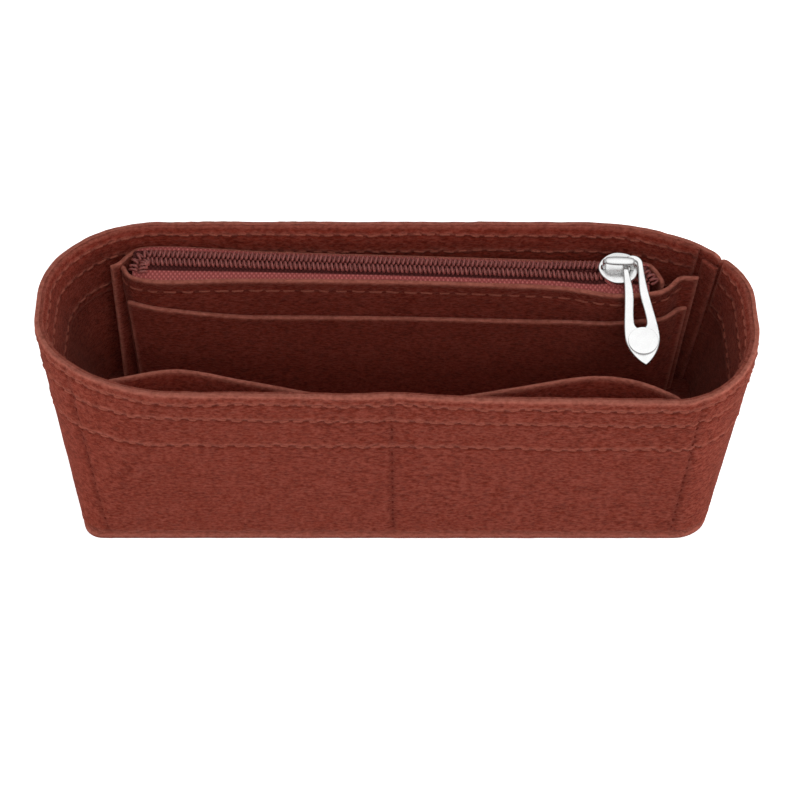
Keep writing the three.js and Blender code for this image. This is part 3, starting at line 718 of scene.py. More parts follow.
def stitch(points, normals, run, centre, length, thread, lift, lean):
    """One stitch along a line, sunk into the felt at both ends."""
    shares = np.linspace(-0.5, 0.5, THREAD_RINGS)
    places = centre + shares * length
    line = resampled(places, run, points)
    out = unit(resampled(places, run, normals))
    aside = np.cross(unit(np.gradient(line, axis=0)), out)
    bulge = np.sqrt(np.maximum(0, 1 - (2 * shares) ** 4))
    height = lift - 0.75 * thread * (1 - bulge)
    radius = (thread / 2 * mix(0.45, 1, bulge))[:, None]
    bow = 2 * lean * shares + STITCH_BOW * (1 - 4 * shares ** 2)
    line = line + aside * bow[:, None] + out * height[:, None]
    return tube(line, 0.8 * radius * out, radius * aside, THREAD_SIDES)


def stitch_row(
    points, normals, pitch=STITCH_PITCH, share=STITCH_SHARE, thread=THREAD, lift=0.0, start=0.5, seed=0,
):
    """Stitches along a line, each a little uneven."""
    run = run_along(points)
    row = []
    for number in range(int(run[-1] / pitch)):
        centre = (number + start) * pitch
        if centre + pitch / 2 > run[-1]:
            break
        cells = np.array([number, seed, len(points)]) + np.array([[0], [41], [83], [127]])
        chance = lattice(cells, seed + 5)
        uneven = 2 * chance - 1
        length = pitch * share * (1 + STITCH_LENGTH_CHANGE * uneven[0])
        sunk = lift - STITCH_SINK * chance[1]
        centre = centre + STITCH_SHIFT * uneven[2]
        row.append(stitch(points, normals, run, centre, length, thread, sunk, STITCH_LEAN * uneven[3]))
    return row


# Curves of the inner sheets


def plan_curve(pairs):
    """Centripetal Catmull-Rom curve through points, as a function of shares from 0 to 1."""
    points = np.array(pairs, float)
    padded = np.concatenate([[2 * points[0] - points[1]], points, [2 * points[-1] - points[-2]]])

    def gap(a, b):
        return np.maximum(np.sum((a - b) ** 2, axis=-1, keepdims=True) ** 0.25, 1e-4)

    def at(shares):
        place = np.clip(np.asarray(shares, float), 0, 1) * (len(points) - 1)
        first = np.minimum(place.astype(int), len(points) - 2)
        weight = (place - first)[..., None]
        p0, p1, p2, p3 = (padded[first + k] for k in range(4))
        d0, d1, d2 = gap(p0, p1), gap(p1, p2), gap(p2, p3)
        t1 = ((p1 - p0) / d0 - (p2 - p0) / (d0 + d1) + (p2 - p1) / d1) * d1
        t2 = ((p2 - p1) / d1 - (p3 - p1) / (d1 + d2) + (p3 - p2) / d2) * d1
        cubic = 2 * p1 - 2 * p2 + t1 + t2
        square = -3 * p1 + 3 * p2 - 2 * t1 - t2
        return p1 + t1 * weight + square * weight ** 2 + cubic * weight ** 3

    return at


ZIP_HEIGHT = HEIGHT - ZIP_BELOW_RIM
ZIP_LEVEL = ZIP_HEIGHT / HEIGHT
ZIP_Y = rear_at(ZIP_LEVEL) - ZIP_FORWARD
CHAIN_START = CHAIN_IN_LEFT - half_length_at(ZIP_LEVEL)
CHAIN_END = half_length_at(ZIP_LEVEL) - CHAIN_IN_RIGHT
SLIDER_AT = CHAIN_END - SLIDER_FROM_CHAIN_END
POUCH_FRONT_TOP = HEIGHT - POUCH_FRONT_BELOW_RIM
POUCH_BACK_TOP = HEIGHT - POUCH_BACK_BELOW_RIM


def beside_chain(x, offset):
    return (x, ZIP_Y + math.tan(math.radians(ZIP_YAW)) * x + offset)


def in_from(side, z, pairs):
    """Points at one height, from distances in from an end of the tub and forward of its back."""
    level = z / HEIGHT
    return [(side * (half_length_at(level) - inward), rear_at(level) - forward) for inward, forward in pairs]


def sheet_curves(z_top, ends, run_top, run_foot):
    """Curves of a sheet at its top and its foot, from its two ends and the run between them."""
    curves = []
    for z, run, level in ((z_top, run_top, "top"), (SHEET_FOOT, run_foot, "foot")):
        left = in_from(LEFT, z, ends[f"left_{level}"])
        right = in_from(RIGHT, z, ends[f"right_{level}"])
        curves.append(plan_curve(left + run + right))
    return curves


def pouch_back_curves():
    middle = [mix(CHAIN_START, SLIDER_AT, share) for share in BACK_RUN_SHARES]
    run = [CHAIN_START + BACK_RUN_START, *middle, SLIDER_AT]
    top = [beside_chain(x, FELT_TO_CHAIN + FELT / 2) for x in run]
    left = np.array(in_from(LEFT, SHEET_FOOT, [BACK_FOOT_LEFT])[0])
    right = np.array(in_from(RIGHT, SHEET_FOOT, [BACK_FOOT_RIGHT])[0])
    foot = [tuple(mix(left, right, share)) for share in (0, *BACK_RUN_SHARES, 1)]
    return sheet_curves(POUCH_BACK_TOP, BACK_ENDS, top, foot)


def front_curves(ends, standoff):
    """Curves of the pouch's front or of a sheet that stands off it."""
    offset = -(FELT_TO_CHAIN + FELT + standoff)
    top = [beside_chain(CHAIN_START + along, offset - bow) for along, bow in FRONT_BOW_LEFT]
    top += [beside_chain(CHAIN_END - along, offset - bow) for along, bow in FRONT_BOW_RIGHT]
    shrink = BASE_LENGTH / RIM_LENGTH
    foot_y = rear_at(SHEET_FOOT / HEIGHT) - FRONT_FOOT_FORWARD - standoff
    foot = [(mix(x, x * shrink, FRONT_FOOT_TAPER), foot_y) for x, _ in top]
    return sheet_curves(POUCH_FRONT_TOP, ends, top, foot)


POUCH_BACK = pouch_back_curves()
POUCH_FRONT = front_curves(FRONT_ENDS, 0)
SLIP_POCKET = front_curves(SLIP_ENDS, FELT + LAYER_GAP + SLIP_SLACK)


def even_curve(curve):
    """Shares evenly spaced along a curve, with their places in millimetres."""
    shares = np.linspace(0, 1, CURVE_SAMPLES)
    run = run_along(curve(shares))
    places = edge_places(run[-1])
    return np.interp(places, run, shares), places


def panel_grid(curves, reference_top, top_below=None):
    """Middle surface of an upright sheet between its curves at the top and at the foot."""
    top, foot = curves
    shares, along = even_curve(top)
    height = np.full(len(shares), float(reference_top))
    if top_below is not None:
        height = HEIGHT - top_below(along / along[-1])
    up = edge_places(reference_top - SHEET_FOOT)
    z = SHEET_FOOT + (up / up[-1])[None, :] * (height - SHEET_FOOT)[:, None]
    rise = ((z - SHEET_FOOT) / (reference_top - SHEET_FOOT))[..., None]
    plan = mix(foot(shares)[:, None, :], top(shares)[:, None, :], rise)
    return np.concatenate([plan, z[..., None]], axis=-1), along, up


def panel_y(curves, reference_top, x, z):
    """Y of a sheet's middle surface at places along X and heights."""
    top_line, foot_line = (curve(np.linspace(0, 1, SLICE_SAMPLES)) for curve in curves)
    result = np.empty(len(x))
    for number, rise in enumerate((z - SHEET_FOOT) / (reference_top - SHEET_FOOT)):
        line = mix(foot_line, top_line, rise)
        result[number] = line[np.argmin(np.abs(line[:, 0] - x[number])), 1]
    return result


# Zip frame


def turn_about_x(degrees):
    cosine, sine = math.cos(math.radians(degrees)), math.sin(math.radians(degrees))
    return np.array([[1, 0, 0], [0, cosine, -sine], [0, sine, cosine]])


def turn_about_z(degrees):
    cosine, sine = math.cos(math.radians(degrees)), math.sin(math.radians(degrees))
    return np.array([[cosine, -sine, 0], [sine, cosine, 0], [0, 0, 1]])


ZIP_TURN = turn_about_z(ZIP_YAW) @ turn_about_x(ZIP_TILT)


def on_zip(points):
    return np.asarray(points) @ ZIP_TURN.T + np.array([0, ZIP_Y, ZIP_HEIGHT])


def on_slider(points):
    return on_zip(np.asarray(points) + np.array([SLIDER_AT, 0, 0]))


def spread(u):
    """How far each row of the chain stands apart in front of the slider."""
    peak = SLIDER_AT - SPREAD_AHEAD
    opening = smoothstep(u, peak - SPREAD_LENGTH, peak)
    closing = 1 - smoothstep(u, peak, peak + SPREAD_RETURN)
    return CHAIN_SPREAD * np.minimum(opening, closing)


# Materials


class Nodes:
    """Small helper that adds and links the shader nodes of a material or a world."""

    def __init__(self, owner, shader="Principled BSDF"):
        owner.use_nodes = True
        self.material = owner
        self.tree = owner.node_tree
        self.shader = self.tree.nodes[shader]

    def put(self, socket, value):
        if isinstance(value, bpy.types.NodeSocket):
            self.tree.links.new(value, socket)
        else:
            socket.default_value = value

    def add(self, kind, inputs=None, **settings):
        node = self.tree.nodes.new("ShaderNode" + kind)
        for key, value in settings.items():
            setattr(node, key, value)
        for key, value in (inputs or {}).items():
            self.put(node.inputs[key], value)
        return node.outputs

    def set(self, **values):
        for key, value in values.items():
            self.put(self.shader.inputs[key.replace("_", " ")], value)

    def place(self):
        return self.add("TexCoord")["Object"]

    def noise(self, vector, scale, detail=2.0, roughness=0.5):
        inputs = {"Vector": vector, "Scale": scale, "Detail": detail, "Roughness": roughness}
        return self.add("TexNoise", inputs)["Fac"]

    def math(self, operation, first, second):
        return self.add("Math", {0: first, 1: second}, operation=operation)[0]

    def blend(self, share, first, second, kind="MIX"):
        return self.add("Mix", {0: share, 6: first, 7: second}, data_type="RGBA", blend_type=kind)[2]

    def choose(self, share, first, second):
        return self.add("Mix", {0: share, 2: first, 3: second})[0]

    def attribute(self, name):
        return self.add("Attribute", attribute_name=name)["Fac"]

    def span(self, value, low, high, to_low=0.0, to_high=1.0):
        return self.add("MapRange", {0: value, 1: low, 2: high, 3: to_low, 4: to_high})[0]

    def mapped(self, vector, scale, turn=(0, 0, 0)):
        return self.add("Mapping", {"Vector": vector, "Scale": scale, "Rotation": turn})[0]

    def bump(self, height, distance, strength=1.0):
        return self.add("Bump", {"Height": height, "Distance": distance, "Strength": strength})[0]


def colour(red, green, blue):
    return (red, green, blue, 1.0)


FELT_DARK = colour(0.115, 0.0145, 0.0075)
FELT_MAIN = colour(0.19, 0.029, 0.016)
FELT_LIGHT = colour(0.265, 0.056, 0.037)
# Lighter felt: paler cut edges with painted highlight, the painted highlight on the rolls beside the
# stitches, and the painted light from the floor at the wall's foot
FELT_PALE_AND_LIT = colour(0.46, 0.15, 0.107)
# Painted shade: darker felt in stitch grooves and needle holes, along the upright seams, in the pouch's
# fold, at the wall's foot and round the base
FELT_PAINTED_SHADE = colour(0.085, 0.013, 0.0085)
FELT_SHEEN = colour(0.8, 0.34, 0.26)
# Painted shade: a darker, deeper red tint for the felt inside the tub
INSIDE_PAINTED_SHADE = colour(0.94, 0.76, 0.74)  # the felt inside the tub, against the felt outside
THREAD_COLOURS = (colour(0.2, 0.042, 0.027), colour(0.37, 0.11, 0.076))
DARK_THREAD_COLOURS = (colour(0.07, 0.01, 0.006), colour(0.13, 0.02, 0.012))
# Lighter than the tape's own colour: painted light for the light that falls on it from above
TAPE_COLOURS = (colour(0.35, 0.07, 0.065), colour(0.72, 0.21, 0.19))
TAPE_FUZZ = colour(0.36, 0.12, 0.11)
# The tape is lighter towards its edges
TAPE_LIGHTENING = colour(0.36, 0.11, 0.1)
# Painted shadow and shade of the coil on the tape
TAPE_PAINTED_SHADOW = colour(0.02, 0.004, 0.004)
COIL_COLOURS = (colour(0.15, 0.028, 0.024), colour(0.35, 0.1, 0.086))
METAL_COLOURS = (colour(0.83, 0.83, 0.83), colour(0.92, 0.92, 0.915))
FLOOR_COLOUR = colour(0.9, 0.9, 0.9)
WHITE = colour(1, 1, 1)

# Texture scales, in features per metre
CLUMP_SCALE = (650, 650, 1150)
PATCH_SCALE = 220
FIBRE_SCALE = (420, 2600, 2600)
FIBRE_TURNS = ((0.3, 0.5, 0.9), (1.4, 0.2, 2.3), (0.9, 1.8, 0.4))
PLY_SCALE = (2200, 2200, 2200)
WEAVE_SCALE = 260.0
WEAVE_LEANS = (0.6, -0.6)


def felt_material():
    nodes = Nodes(bpy.data.materials.new("felt"))
    place = nodes.place()
    clumps = nodes.noise(nodes.mapped(place, CLUMP_SCALE), 1.0, 3.0, 0.6)
    patches = nodes.noise(place, PATCH_SCALE)
    fibres = None
    for turn in FIBRE_TURNS:
        stretched = nodes.mapped(place, FIBRE_SCALE, turn)
        one = nodes.span(nodes.noise(stretched, 1.0, 1.0), 0.58, 0.74)
        fibres = one if fibres is None else nodes.math("MAXIMUM", fibres, one)
    mottled = nodes.math("ADD", nodes.math("MULTIPLY", clumps, 0.82), nodes.math("MULTIPLY", patches, 0.18))
    base = nodes.blend(nodes.span(mottled, 0.38, 0.5), FELT_DARK, FELT_MAIN)
    base = nodes.blend(nodes.span(mottled, 0.5, 0.65), base, FELT_LIGHT)
    base = nodes.blend(nodes.math("MULTIPLY", fibres, 0.55), base, FELT_LIGHT)
    # painted shade, wherever the sheets carry it
    base = nodes.blend(nodes.math("MULTIPLY", nodes.attribute("seam"), 0.75), base, FELT_PAINTED_SHADE)
    # painted shade inside the tub
    base = nodes.blend(nodes.attribute("inside"), base, INSIDE_PAINTED_SHADE, "MULTIPLY")
    # lighter cut edges, paler felt with painted highlight, and the painted highlight and light that the
    # sheets carry
    lightening = nodes.math("MULTIPLY", nodes.attribute("edge"), nodes.span(clumps, 0.3, 0.7, 0.45, 0.95))
    base = nodes.blend(lightening, base, FELT_PALE_AND_LIT)
    height = nodes.math("ADD", clumps, nodes.math("MULTIPLY", fibres, 0.5))
    nodes.set(Base_Color=base, Roughness=0.95, Specular_IOR_Level=0.15)
    nodes.set(Sheen_Weight=0.2, Sheen_Roughness=0.35, Sheen_Tint=FELT_SHEEN)
    nodes.set(Normal=nodes.bump(height, 0.0005, 0.8))
    return nodes.material


def thread_material(name, colours):
    nodes = Nodes(bpy.data.materials.new(name))
    plies = nodes.noise(nodes.mapped(nodes.place(), PLY_SCALE), 1.0, 1.0)
    nodes.set(Base_Color=nodes.blend(plies, *colours), Roughness=0.9, Specular_IOR_Level=0.06)
    nodes.set(Normal=nodes.bump(plies, 0.0002))
    return nodes.material


def tape_material():
    nodes = Nodes(bpy.data.materials.new("woven_tape"))
    place = nodes.place()
    ribs = []
    for lean in WEAVE_LEANS:
        leaning = nodes.mapped(place, (1, 1, 1), (0, 0, lean))
        wave = nodes.add("TexWave", {"Vector": leaning, "Scale": WEAVE_SCALE, "Distortion": 0.6})
        ribs.append(wave["Fac"])
    weave = nodes.math("MULTIPLY", *ribs)
    fuzz = nodes.span(nodes.noise(place, 1600), 0.4, 0.7, 0, 0.35)
    base = nodes.blend(fuzz, nodes.blend(weave, *TAPE_COLOURS), TAPE_FUZZ)
    # lighter towards the tape's edges
    base = nodes.blend(nodes.math("MULTIPLY", nodes.attribute("edge"), 0.3), base, TAPE_LIGHTENING)
    # painted shadow beside the coil and painted shade under it
    base = nodes.blend(nodes.attribute("seam"), base, TAPE_PAINTED_SHADOW)
    nodes.set(Base_Color=base, Roughness=0.9, Specular_IOR_Level=0.12)
    nodes.set(Normal=nodes.bump(weave, 0.0002, 0.8))
    return nodes.material


def coil_material():
    nodes = Nodes(bpy.data.materials.new("nylon_coil"))
    place = nodes.place()
    base = nodes.blend(nodes.noise(place, 500), *COIL_COLOURS)
    rough = nodes.span(nodes.noise(place, 900, 1.0), 0.3, 0.7, 0.22, 0.36)
    nodes.set(Base_Color=base, Roughness=rough, Specular_IOR_Level=0.4)
    return nodes.material


def metal_material():
    nodes = Nodes(bpy.data.materials.new("bright_plating"))
    place = nodes.place()
    base = nodes.blend(nodes.noise(place, 120), *METAL_COLOURS)
    rough = nodes.span(nodes.noise(place, 400, 3.0), 0.3, 0.7, 0.18, 0.32)
    nodes.set(Base_Color=base, Metallic=1.0, Roughness=rough)
    nodes.set(Normal=nodes.bump(nodes.noise(place, 260), 0.0001, 0.15))
    return nodes.material


FELT_FINISH = felt_material()
THREAD_FINISH = thread_material("thread", THREAD_COLOURS)
DARK_THREAD_FINISH = thread_material("dark_thread", DARK_THREAD_COLOURS)
TAPE_FINISH = tape_material()
COIL_FINISH = coil_material()
METAL_FINISH = metal_material()


def dress(piece, finish, slot, body, *nodes):
    piece.data.materials.clear()
    piece.data.materials.append(finish)
    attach(piece, body)
    if nodes:
        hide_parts(*nodes)


def make_sewing(name, stitches, finish=THREAD_FINISH):
    sewing = make_mesh(name, *merged(stitches))
    dress(sewing, finish, "thread", "tub")
    return sewing


# Tub wall and the band inside its rim


def seam_x(name, z):
    (x_top, z_top), (x_foot, z_foot) = SEAM_LINES[name]
    return mix(x_foot, x_top, (np.asarray(z, float) - z_foot) / (z_top - z_foot))


def seam_column(grid, name):
    """Number of the column of a band where an upright seam crosses its middle height."""
    middle = grid[:, grid.shape[1] // 2]
    distance = np.abs(middle[:, 0] - seam_x(name, middle[:, 2]))
    return np.argmin(np.where(middle[:, 1] < 0, distance, RIM_LENGTH))


def seam_line(name, points, normals, heights):
    """Line of an upright seam on the wall, with the directions out of it."""
    front = points[:, len(heights) // 2, 1] < 0
    line = []
    out = []
    for z in np.arange(*SEAM_THREAD_SPAN, SEAM_THREAD_STEP):
        row = np.argmin(np.abs(heights - z))
        order = np.argsort(points[front, row, 0])
        spots = points[front, row][order]
        line.append(resampled(seam_x(name, z), spots[:, 0], spots))
        out.append(resampled(seam_x(name, z), spots[:, 0], normals[front, row][order]))
    return np.array(line), unit(np.array(out))


def band_grid(z_foot, inset, trim_rear, trim_front, seams=()):
    """Middle surface of a band up to the rim, finer along its rows of stitches and its upright seams."""
    rows = [HEIGHT - below - z_foot for below in ROWS_BELOW_RIM]
    if z_foot == 0:
        rows.append(BASE_ROW_HEIGHT)
    up = closer_places(edge_places(HEIGHT - z_foot), rows, ROW_REACH, FINE_STEP)
    heights = z_foot + up
    rings = [tub_ring(z / HEIGHT, inset, trim_rear, trim_front) for z in heights]
    plan = np.stack(rings, axis=1)
    z = np.broadcast_to(heights, plan.shape[:2])
    grid = apply_wave(np.concatenate([plan, z[..., None]], axis=-1))
    stray = layered_noise(RIM_RELIEF, flat_points(grid[..., 0], grid[..., 1]), seed=14)
    grid[..., 2] += stray * smoothstep(z, HEIGHT - RIM_RELIEF_DEPTH, HEIGHT)
    run = run_along(rings[-1])
    ends = edge_places(run[-1])
    ends = ends[np.minimum(ends, run[-1] - ends) < 2 * EDGE_ROUNDING]
    places = np.unique(np.concatenate([run, ends]))
    if seams:
        spots = [run[seam_column(grid, name)] for name in seams]
        places = closer_places(places, spots, SEAM_REACH, FINE_STEP)
    refined = [resampled(places, run, grid[:, row]) for row in range(len(up))]
    return np.stack(refined, axis=1), places, up, heights


def row_height(places, below, number):
    """Height of a row of stitches, which strays up and down."""
    along = flat_points(places)
    slow = ROW_STRAY * noise(along, ROW_STRAY_LENGTH, seed=20 + number)
    return HEIGHT - below + (slow + ROW_WAVER * noise(along, ROW_WAVER_LENGTH, seed=30 + number))


def row_relief(places, heights, depth, width):
    """Relief of the rows of stitches that run round the rim, with their painted shade and painted highlight
    shares.
    """
    relief, dark, light = np.zeros((3, len(places), len(heights)))
    for number, below in enumerate(ROWS_BELOW_RIM):
        distance = heights[None, :] - row_height(places, below, number)[:, None]
        run = places[:, None] + number * ROW_OFFSET
        one, one_dark, one_light = sewn_groove(distance, run, STITCH_PITCH, depth, width)
        relief += one
        dark = np.maximum(dark, one_dark)
        light = np.maximum(light, one_light)
    return relief, dark, light


def row_line(points, normals, heights, places, below, number):
    """Line of a row of stitches on a face of the band, with the directions out of it."""
    row = row_height(places, below, number)
    line = [resampled(z, heights, column) for z, column in zip(row, points)]
    out = [resampled(z, heights, column) for z, column in zip(row, normals)]
    return np.array(line), unit(np.array(out))


def rim_rows(points, normals, heights, places, lift, seed):
    """Stitches of the rows that run round the rim, on a face of the band."""
    stitches = []
    for number, below in enumerate(ROWS_BELOW_RIM):
        line, out = row_line(points, normals, heights, places, below, number)
        start = 0.5 - number * ROW_OFFSET / STITCH_PITCH + 1
        stitches += stitch_row(line, out, start=start, lift=lift, seed=number + seed)
    return stitches


def wall_sewing_relief(grid, places, heights):
    """Relief of all the sewing on the wall's outside, with its painted shade and painted highlight shares.
    """
    sewn, dark, light = row_relief(places, heights, depth=0.5, width=0.85)
    x, y, z = np.moveaxis(grid, -1, 0)
    for name in SEAM_LINES:
        one, one_dark = upright_seam(np.where(y < 0, x - seam_x(name, z), RIM_LENGTH), z)
        sewn = sewn + one
        dark = np.maximum(dark, one_dark)
    base_sewn, base_dark, _ = sewn_groove(
        z - BASE_ROW_HEIGHT, places[:, None], STITCH_PITCH, depth=0.4, width=1.0)
    return sewn + base_sewn, np.maximum(dark, BASE_ROW_DARK * base_dark), light


def sew_wall(outer, normals, heights, places):
    """Threads of the rows round the wall, and those of its upright seams."""
    rows = rim_rows(outer, normals, heights, places, lift=0.2, seed=0)
    base_row = row_line(outer, normals, heights, places, HEIGHT - BASE_ROW_HEIGHT, BASE_ROW_SEED)
    rows += stitch_row(*base_row, thread=BASE_THREAD)
    seams = []
    for name in SEAM_LINES:
        line, out = seam_line(name, outer, normals, heights)
        seams += stitch_row(
            line, out, pitch=SEAM_PITCH, share=SEAM_STITCH_SHARE, thread=SEAM_THREAD, lift=-0.12)
    sewing = make_sewing("wall_stitches", rows)
    return sewing, make_sewing("wall_seam_stitches", seams, DARK_THREAD_FINISH)


def make_wall(seam_strip):
    grid, places, up, heights = band_grid(0, FELT / 2, SEAM_SLIT / 2, SEAM_SLIT / 2, SEAM_LINES)
    from_seam = np.minimum(places, places[-1] - places)
    rounding = SEAM_ROUNDING_DROP * np.clip(1 - from_seam / SEAM_ROUNDING, 0, 1) ** 2
    grid[..., 2] -= rounding[:, None] * (heights / HEIGHT)[None, :] ** SEAM_ROUNDING_POWER
    relief = felt_relief(grid, seed=40) + band_creases(grid)
    sewn, dark, light = wall_sewing_relief(grid, places, heights)
    pinch = RIM_PINCH * smoothstep(heights, HEIGHT - RIM_PINCH_DEPTH, HEIGHT)
    # Painted contact shadow at the wall's foot, painted light from the floor just above it, and painted
    # highlight on the rolls beside the stitches
    grounded = bell(heights, CONTACT_REACH)
    facing_foot = HEIGHT - FACING_DEPTH
    piece, outer, _, normals = felt_sheet(
        "felt_wall", grid, places, up,
        front=relief + sewn - pinch,
        back=LAYER_GAP / 2 * smoothstep(heights, facing_foot, facing_foot + TOUCH_FADE),
        painted_shade_front=np.maximum(dark, CONTACT_DARK * grounded),
        highlight_front=np.maximum(bell(heights, FOOT_PAINTED_LIGHT) * (1 - grounded), ROW_HIGHLIGHT * light),
        square="back", lighten_ends=False, lighten_foot=False, inside_front=0,
    )
    dress(piece, FELT_FINISH, "felt", "tub", "outer_wall")
    sewing, seam_sewing = sew_wall(outer, normals, heights, places)


def make_facing():
    rear_trim = STRIP_REARWARD + STRIP_MARGIN
    front_trim = STRIP_FORWARD + STRIP_MARGIN
    inset = FELT + LAYER_GAP + FELT / 2
    grid, places, up, heights = band_grid(HEIGHT - FACING_DEPTH, inset, rear_trim, front_trim)
    relief = felt_relief(grid, seed=50)
    sewn, dark, light = row_relief(places, heights, depth=0.32, width=0.8)
    from_seam = np.minimum(places, places[-1] - places)[:, None]
    thinned = FACING_END_THINNING * (1 - smoothstep(from_seam, 0, FACING_END_LENGTH))
    near_rim = smoothstep(heights, HEIGHT - RIM_PINCH_DEPTH, HEIGHT)
    grid[..., 2] -= FACING_TOP_DROP * near_rim
    # Painted shade in the stitch grooves, painted highlight on the rolls, and weaker lightening of the cut
    # edges, which keeps the facing's top darker as painted shade
    piece, _, inner, normals = felt_sheet(
        "felt_rim_facing", grid, places, up,
        front=LAYER_GAP / 2,
        back=relief + sewn - thinned - FACING_PINCH * near_rim,
        painted_shade_back=dark, highlight_back=ROW_HIGHLIGHT * light, square="front", edge_lightening=FACING_LIGHTENING,
    )
    dress(piece, FELT_FINISH, "felt", "tub", "rim_facing")
    make_sewing("rim_stitches", rim_rows(inner, -normals, heights, places, lift=0.3, seed=7))


def make_seam_strip():
    up = edge_places(HEIGHT - STRIP_BELOW_RIM - SHEET_FOOT)
    along = edge_places(STRIP_FORWARD + STRIP_REARWARD)
    depth = FELT + STRIP_GAP + FELT / 2
    grid = np.empty((len(along), len(up), 3))
    grid[..., 2] = SHEET_FOOT + up
    for column, level in enumerate((SHEET_FOOT + up) / HEIGHT):
        middle = corner_points("rear_right", SEAM_ANGLE, 0, level)
        ahead = unit(corner_points("rear_right", SEAM_ANGLE + 1, 0, level) - middle)
        inward = np.array([-ahead[1], ahead[0]])
        scale = mix(STRIP_BASE_SCALE, 1, level)
        grid[:, column, :2] = middle + ahead * ((along - STRIP_FORWARD) * scale)[:, None] + inward * depth
    relief = felt_relief(grid, seed=60)
    # its cut edges lightened a little: paler cut felt with painted highlight
    piece, *_ = felt_sheet("felt_seam_strip", grid, along, up, back=relief, edge_lightening=STRIP_LIGHTENING)
    dress(piece, FELT_FINISH, "felt", "tub", "seam_strip")
    return piece


def make_base():
    ring = tub_ring(FELT / 2 / HEIGHT, FELT - BASE_TUCK, SEAM_SLIT, SEAM_SLIT)
    half_depth = ring[:, 1].max()
    insets = edge_places(2 * half_depth)
    insets = insets[insets <= half_depth * BASE_FILL]
    profile = edge_profile(insets)[:, None]
    core = np.stack([np.clip(ring[:, 0], -BASE_CORE, BASE_CORE), np.zeros(len(ring))], axis=-1)
    reach = np.linalg.norm(ring - core, axis=1).max()
    loops = core + (ring - core) * np.maximum(SMALLEST_LOOP, 1 - insets / reach)[:, None, None]
    index = np.arange(len(insets) * len(ring)).reshape(len(insets), len(ring))
    vertices = []
    faces = []
    for side in (1, -1):
        z = np.broadcast_to(FELT / 2 + side * (profile * FELT / 2), index.shape)
        spots = np.concatenate([loops, z[..., None]], axis=-1)
        if side > 0:
            spots[..., 2] += felt_relief(spots, seed=70) * profile
        numbers = index + len(vertices)
        vertices.extend(spots.reshape(-1, 3).tolist())
        faces.extend(ring_quads(numbers)[:, ::side].tolist())
        faces.append(numbers[-1, ::side].tolist())
    # painted shade on the base, darkest along the walls
    shade = np.tile(np.repeat(BASE_BORDER_DARK * bell(insets, BASE_BORDER), len(ring)), 2)
    piece = make_mesh("felt_base", vertices, faces, {"seam": shade, "inside": np.ones(len(shade))})
    weld(piece)
    dress(piece, FELT_FINISH, "felt", "tub", "base_panel")


# Front pockets


def front_face(x, level, inset):
    """Inside of the tub's front at places along X."""
    y = np.full_like(x, inset - front_at(level))
    for name in ("front_left", "front_right"):
        corner_x, corner_y, radius_x, radius_y = corner_at(name, level)
        beyond = (x - corner_x) / (radius_x - inset)
        curved = corner_y - (radius_y - inset) * np.sqrt(np.maximum(0, 1 - beyond ** 2))
        y = np.where(beyond * np.sign(corner_x) > 0, curved, y)
    return skewed(x, y, level)


def make_pockets():
    pocket_top = HEIGHT - POCKET_BELOW_RIM
    end = half_length_at(pocket_top / HEIGHT)
    pairs = [(inward - end, bulge) for inward, bulge in POCKET_BULGE_LEFT]
    pairs.append((0, 0))
    pairs += [(end - inward, bulge) for inward, bulge in POCKET_BULGE_RIGHT]
    line = plan_curve(pairs)
    shares, along = even_curve(line)
    stations = line(shares)
    up = edge_places(pocket_top - SHEET_FOOT)
    from_ends = np.minimum(along, along[-1] - along)
    corner_drop = POCKET_CORNER_DROP * (1 - smoothstep(from_ends, 0, POCKET_CORNER)) / up[-1]
    inset = 2 * FELT + 2 * LAYER_GAP + FELT / 2
    grid = np.empty((len(along), len(up), 3))
    for column, rise in enumerate(up):
        z = SHEET_FOOT + rise
        share = rise / up[-1]
        x = stations[:, 0] * (1 - POCKET_FOOT_NARROWING * (1 - share))
        grid[:, column, :2] = front_face(x, z / HEIGHT, inset)
        grid[:, column, 1] += np.maximum(0, stations[:, 1]) * share ** POCKET_BULGE_POWER
        grid[:, column, 2] = z - rise * corner_drop
    grid = apply_wave(grid)
    x, _, z = np.moveaxis(grid, -1, 0)
    sewn, dark = upright_seam(x - seam_x("middle", z), z)
    relief = felt_relief(grid, seed=80)
    # painted shade along the middle upright seam
    piece, *_ = felt_sheet("felt_front_pockets", grid, along, up, back=relief + sewn, painted_shade_back=dark)
    dress(piece, FELT_FINISH, "felt", "tub", "front_pockets")


# Zipped pouch


def make_panel(name, node, curves, reference_top, seed, rows=(), top_below=None):
    grid, along, up = panel_grid(curves, reference_top, top_below)
    relief = felt_relief(grid, seed)
    sewn, dark = np.zeros((2, *grid.shape[:2]))
    edge_below = grid[:, -1:, 2] - grid[..., 2]
    for below in rows:
        one, one_dark, _ = sewn_groove(
            below - edge_below, along[:, None], POUCH_STITCH_PITCH, depth=0.4, width=0.8)
        # fold under the top edge, with painted shade in it
        fold = bell(edge_below - FOLD_SHARE * below, FOLD_WIDTH)
        sewn = sewn + one - FOLD_DEPTH * fold
        dark = np.maximum(dark, np.maximum(one_dark, FOLD_DARK * fold))
    piece, front, _, normals = felt_sheet(
        name, grid, along, up, front=relief + sewn, back=0.5 * relief, painted_shade_front=dark)
    dress(piece, FELT_FINISH, "felt", "tub", node)
    return front, normals, up


def slip_below_rim(run):
    """Depth of the slip pocket's top edge, which rises towards both ends."""
    below = SLIP_MIDDLE_BELOW_RIM
    for (height, start, stop), share in ((SLIP_LEFT_RISE, run), (SLIP_RIGHT_RISE, 1 - run)):
        below = below - height * (1 - smoothstep(share, start, stop))
    return below


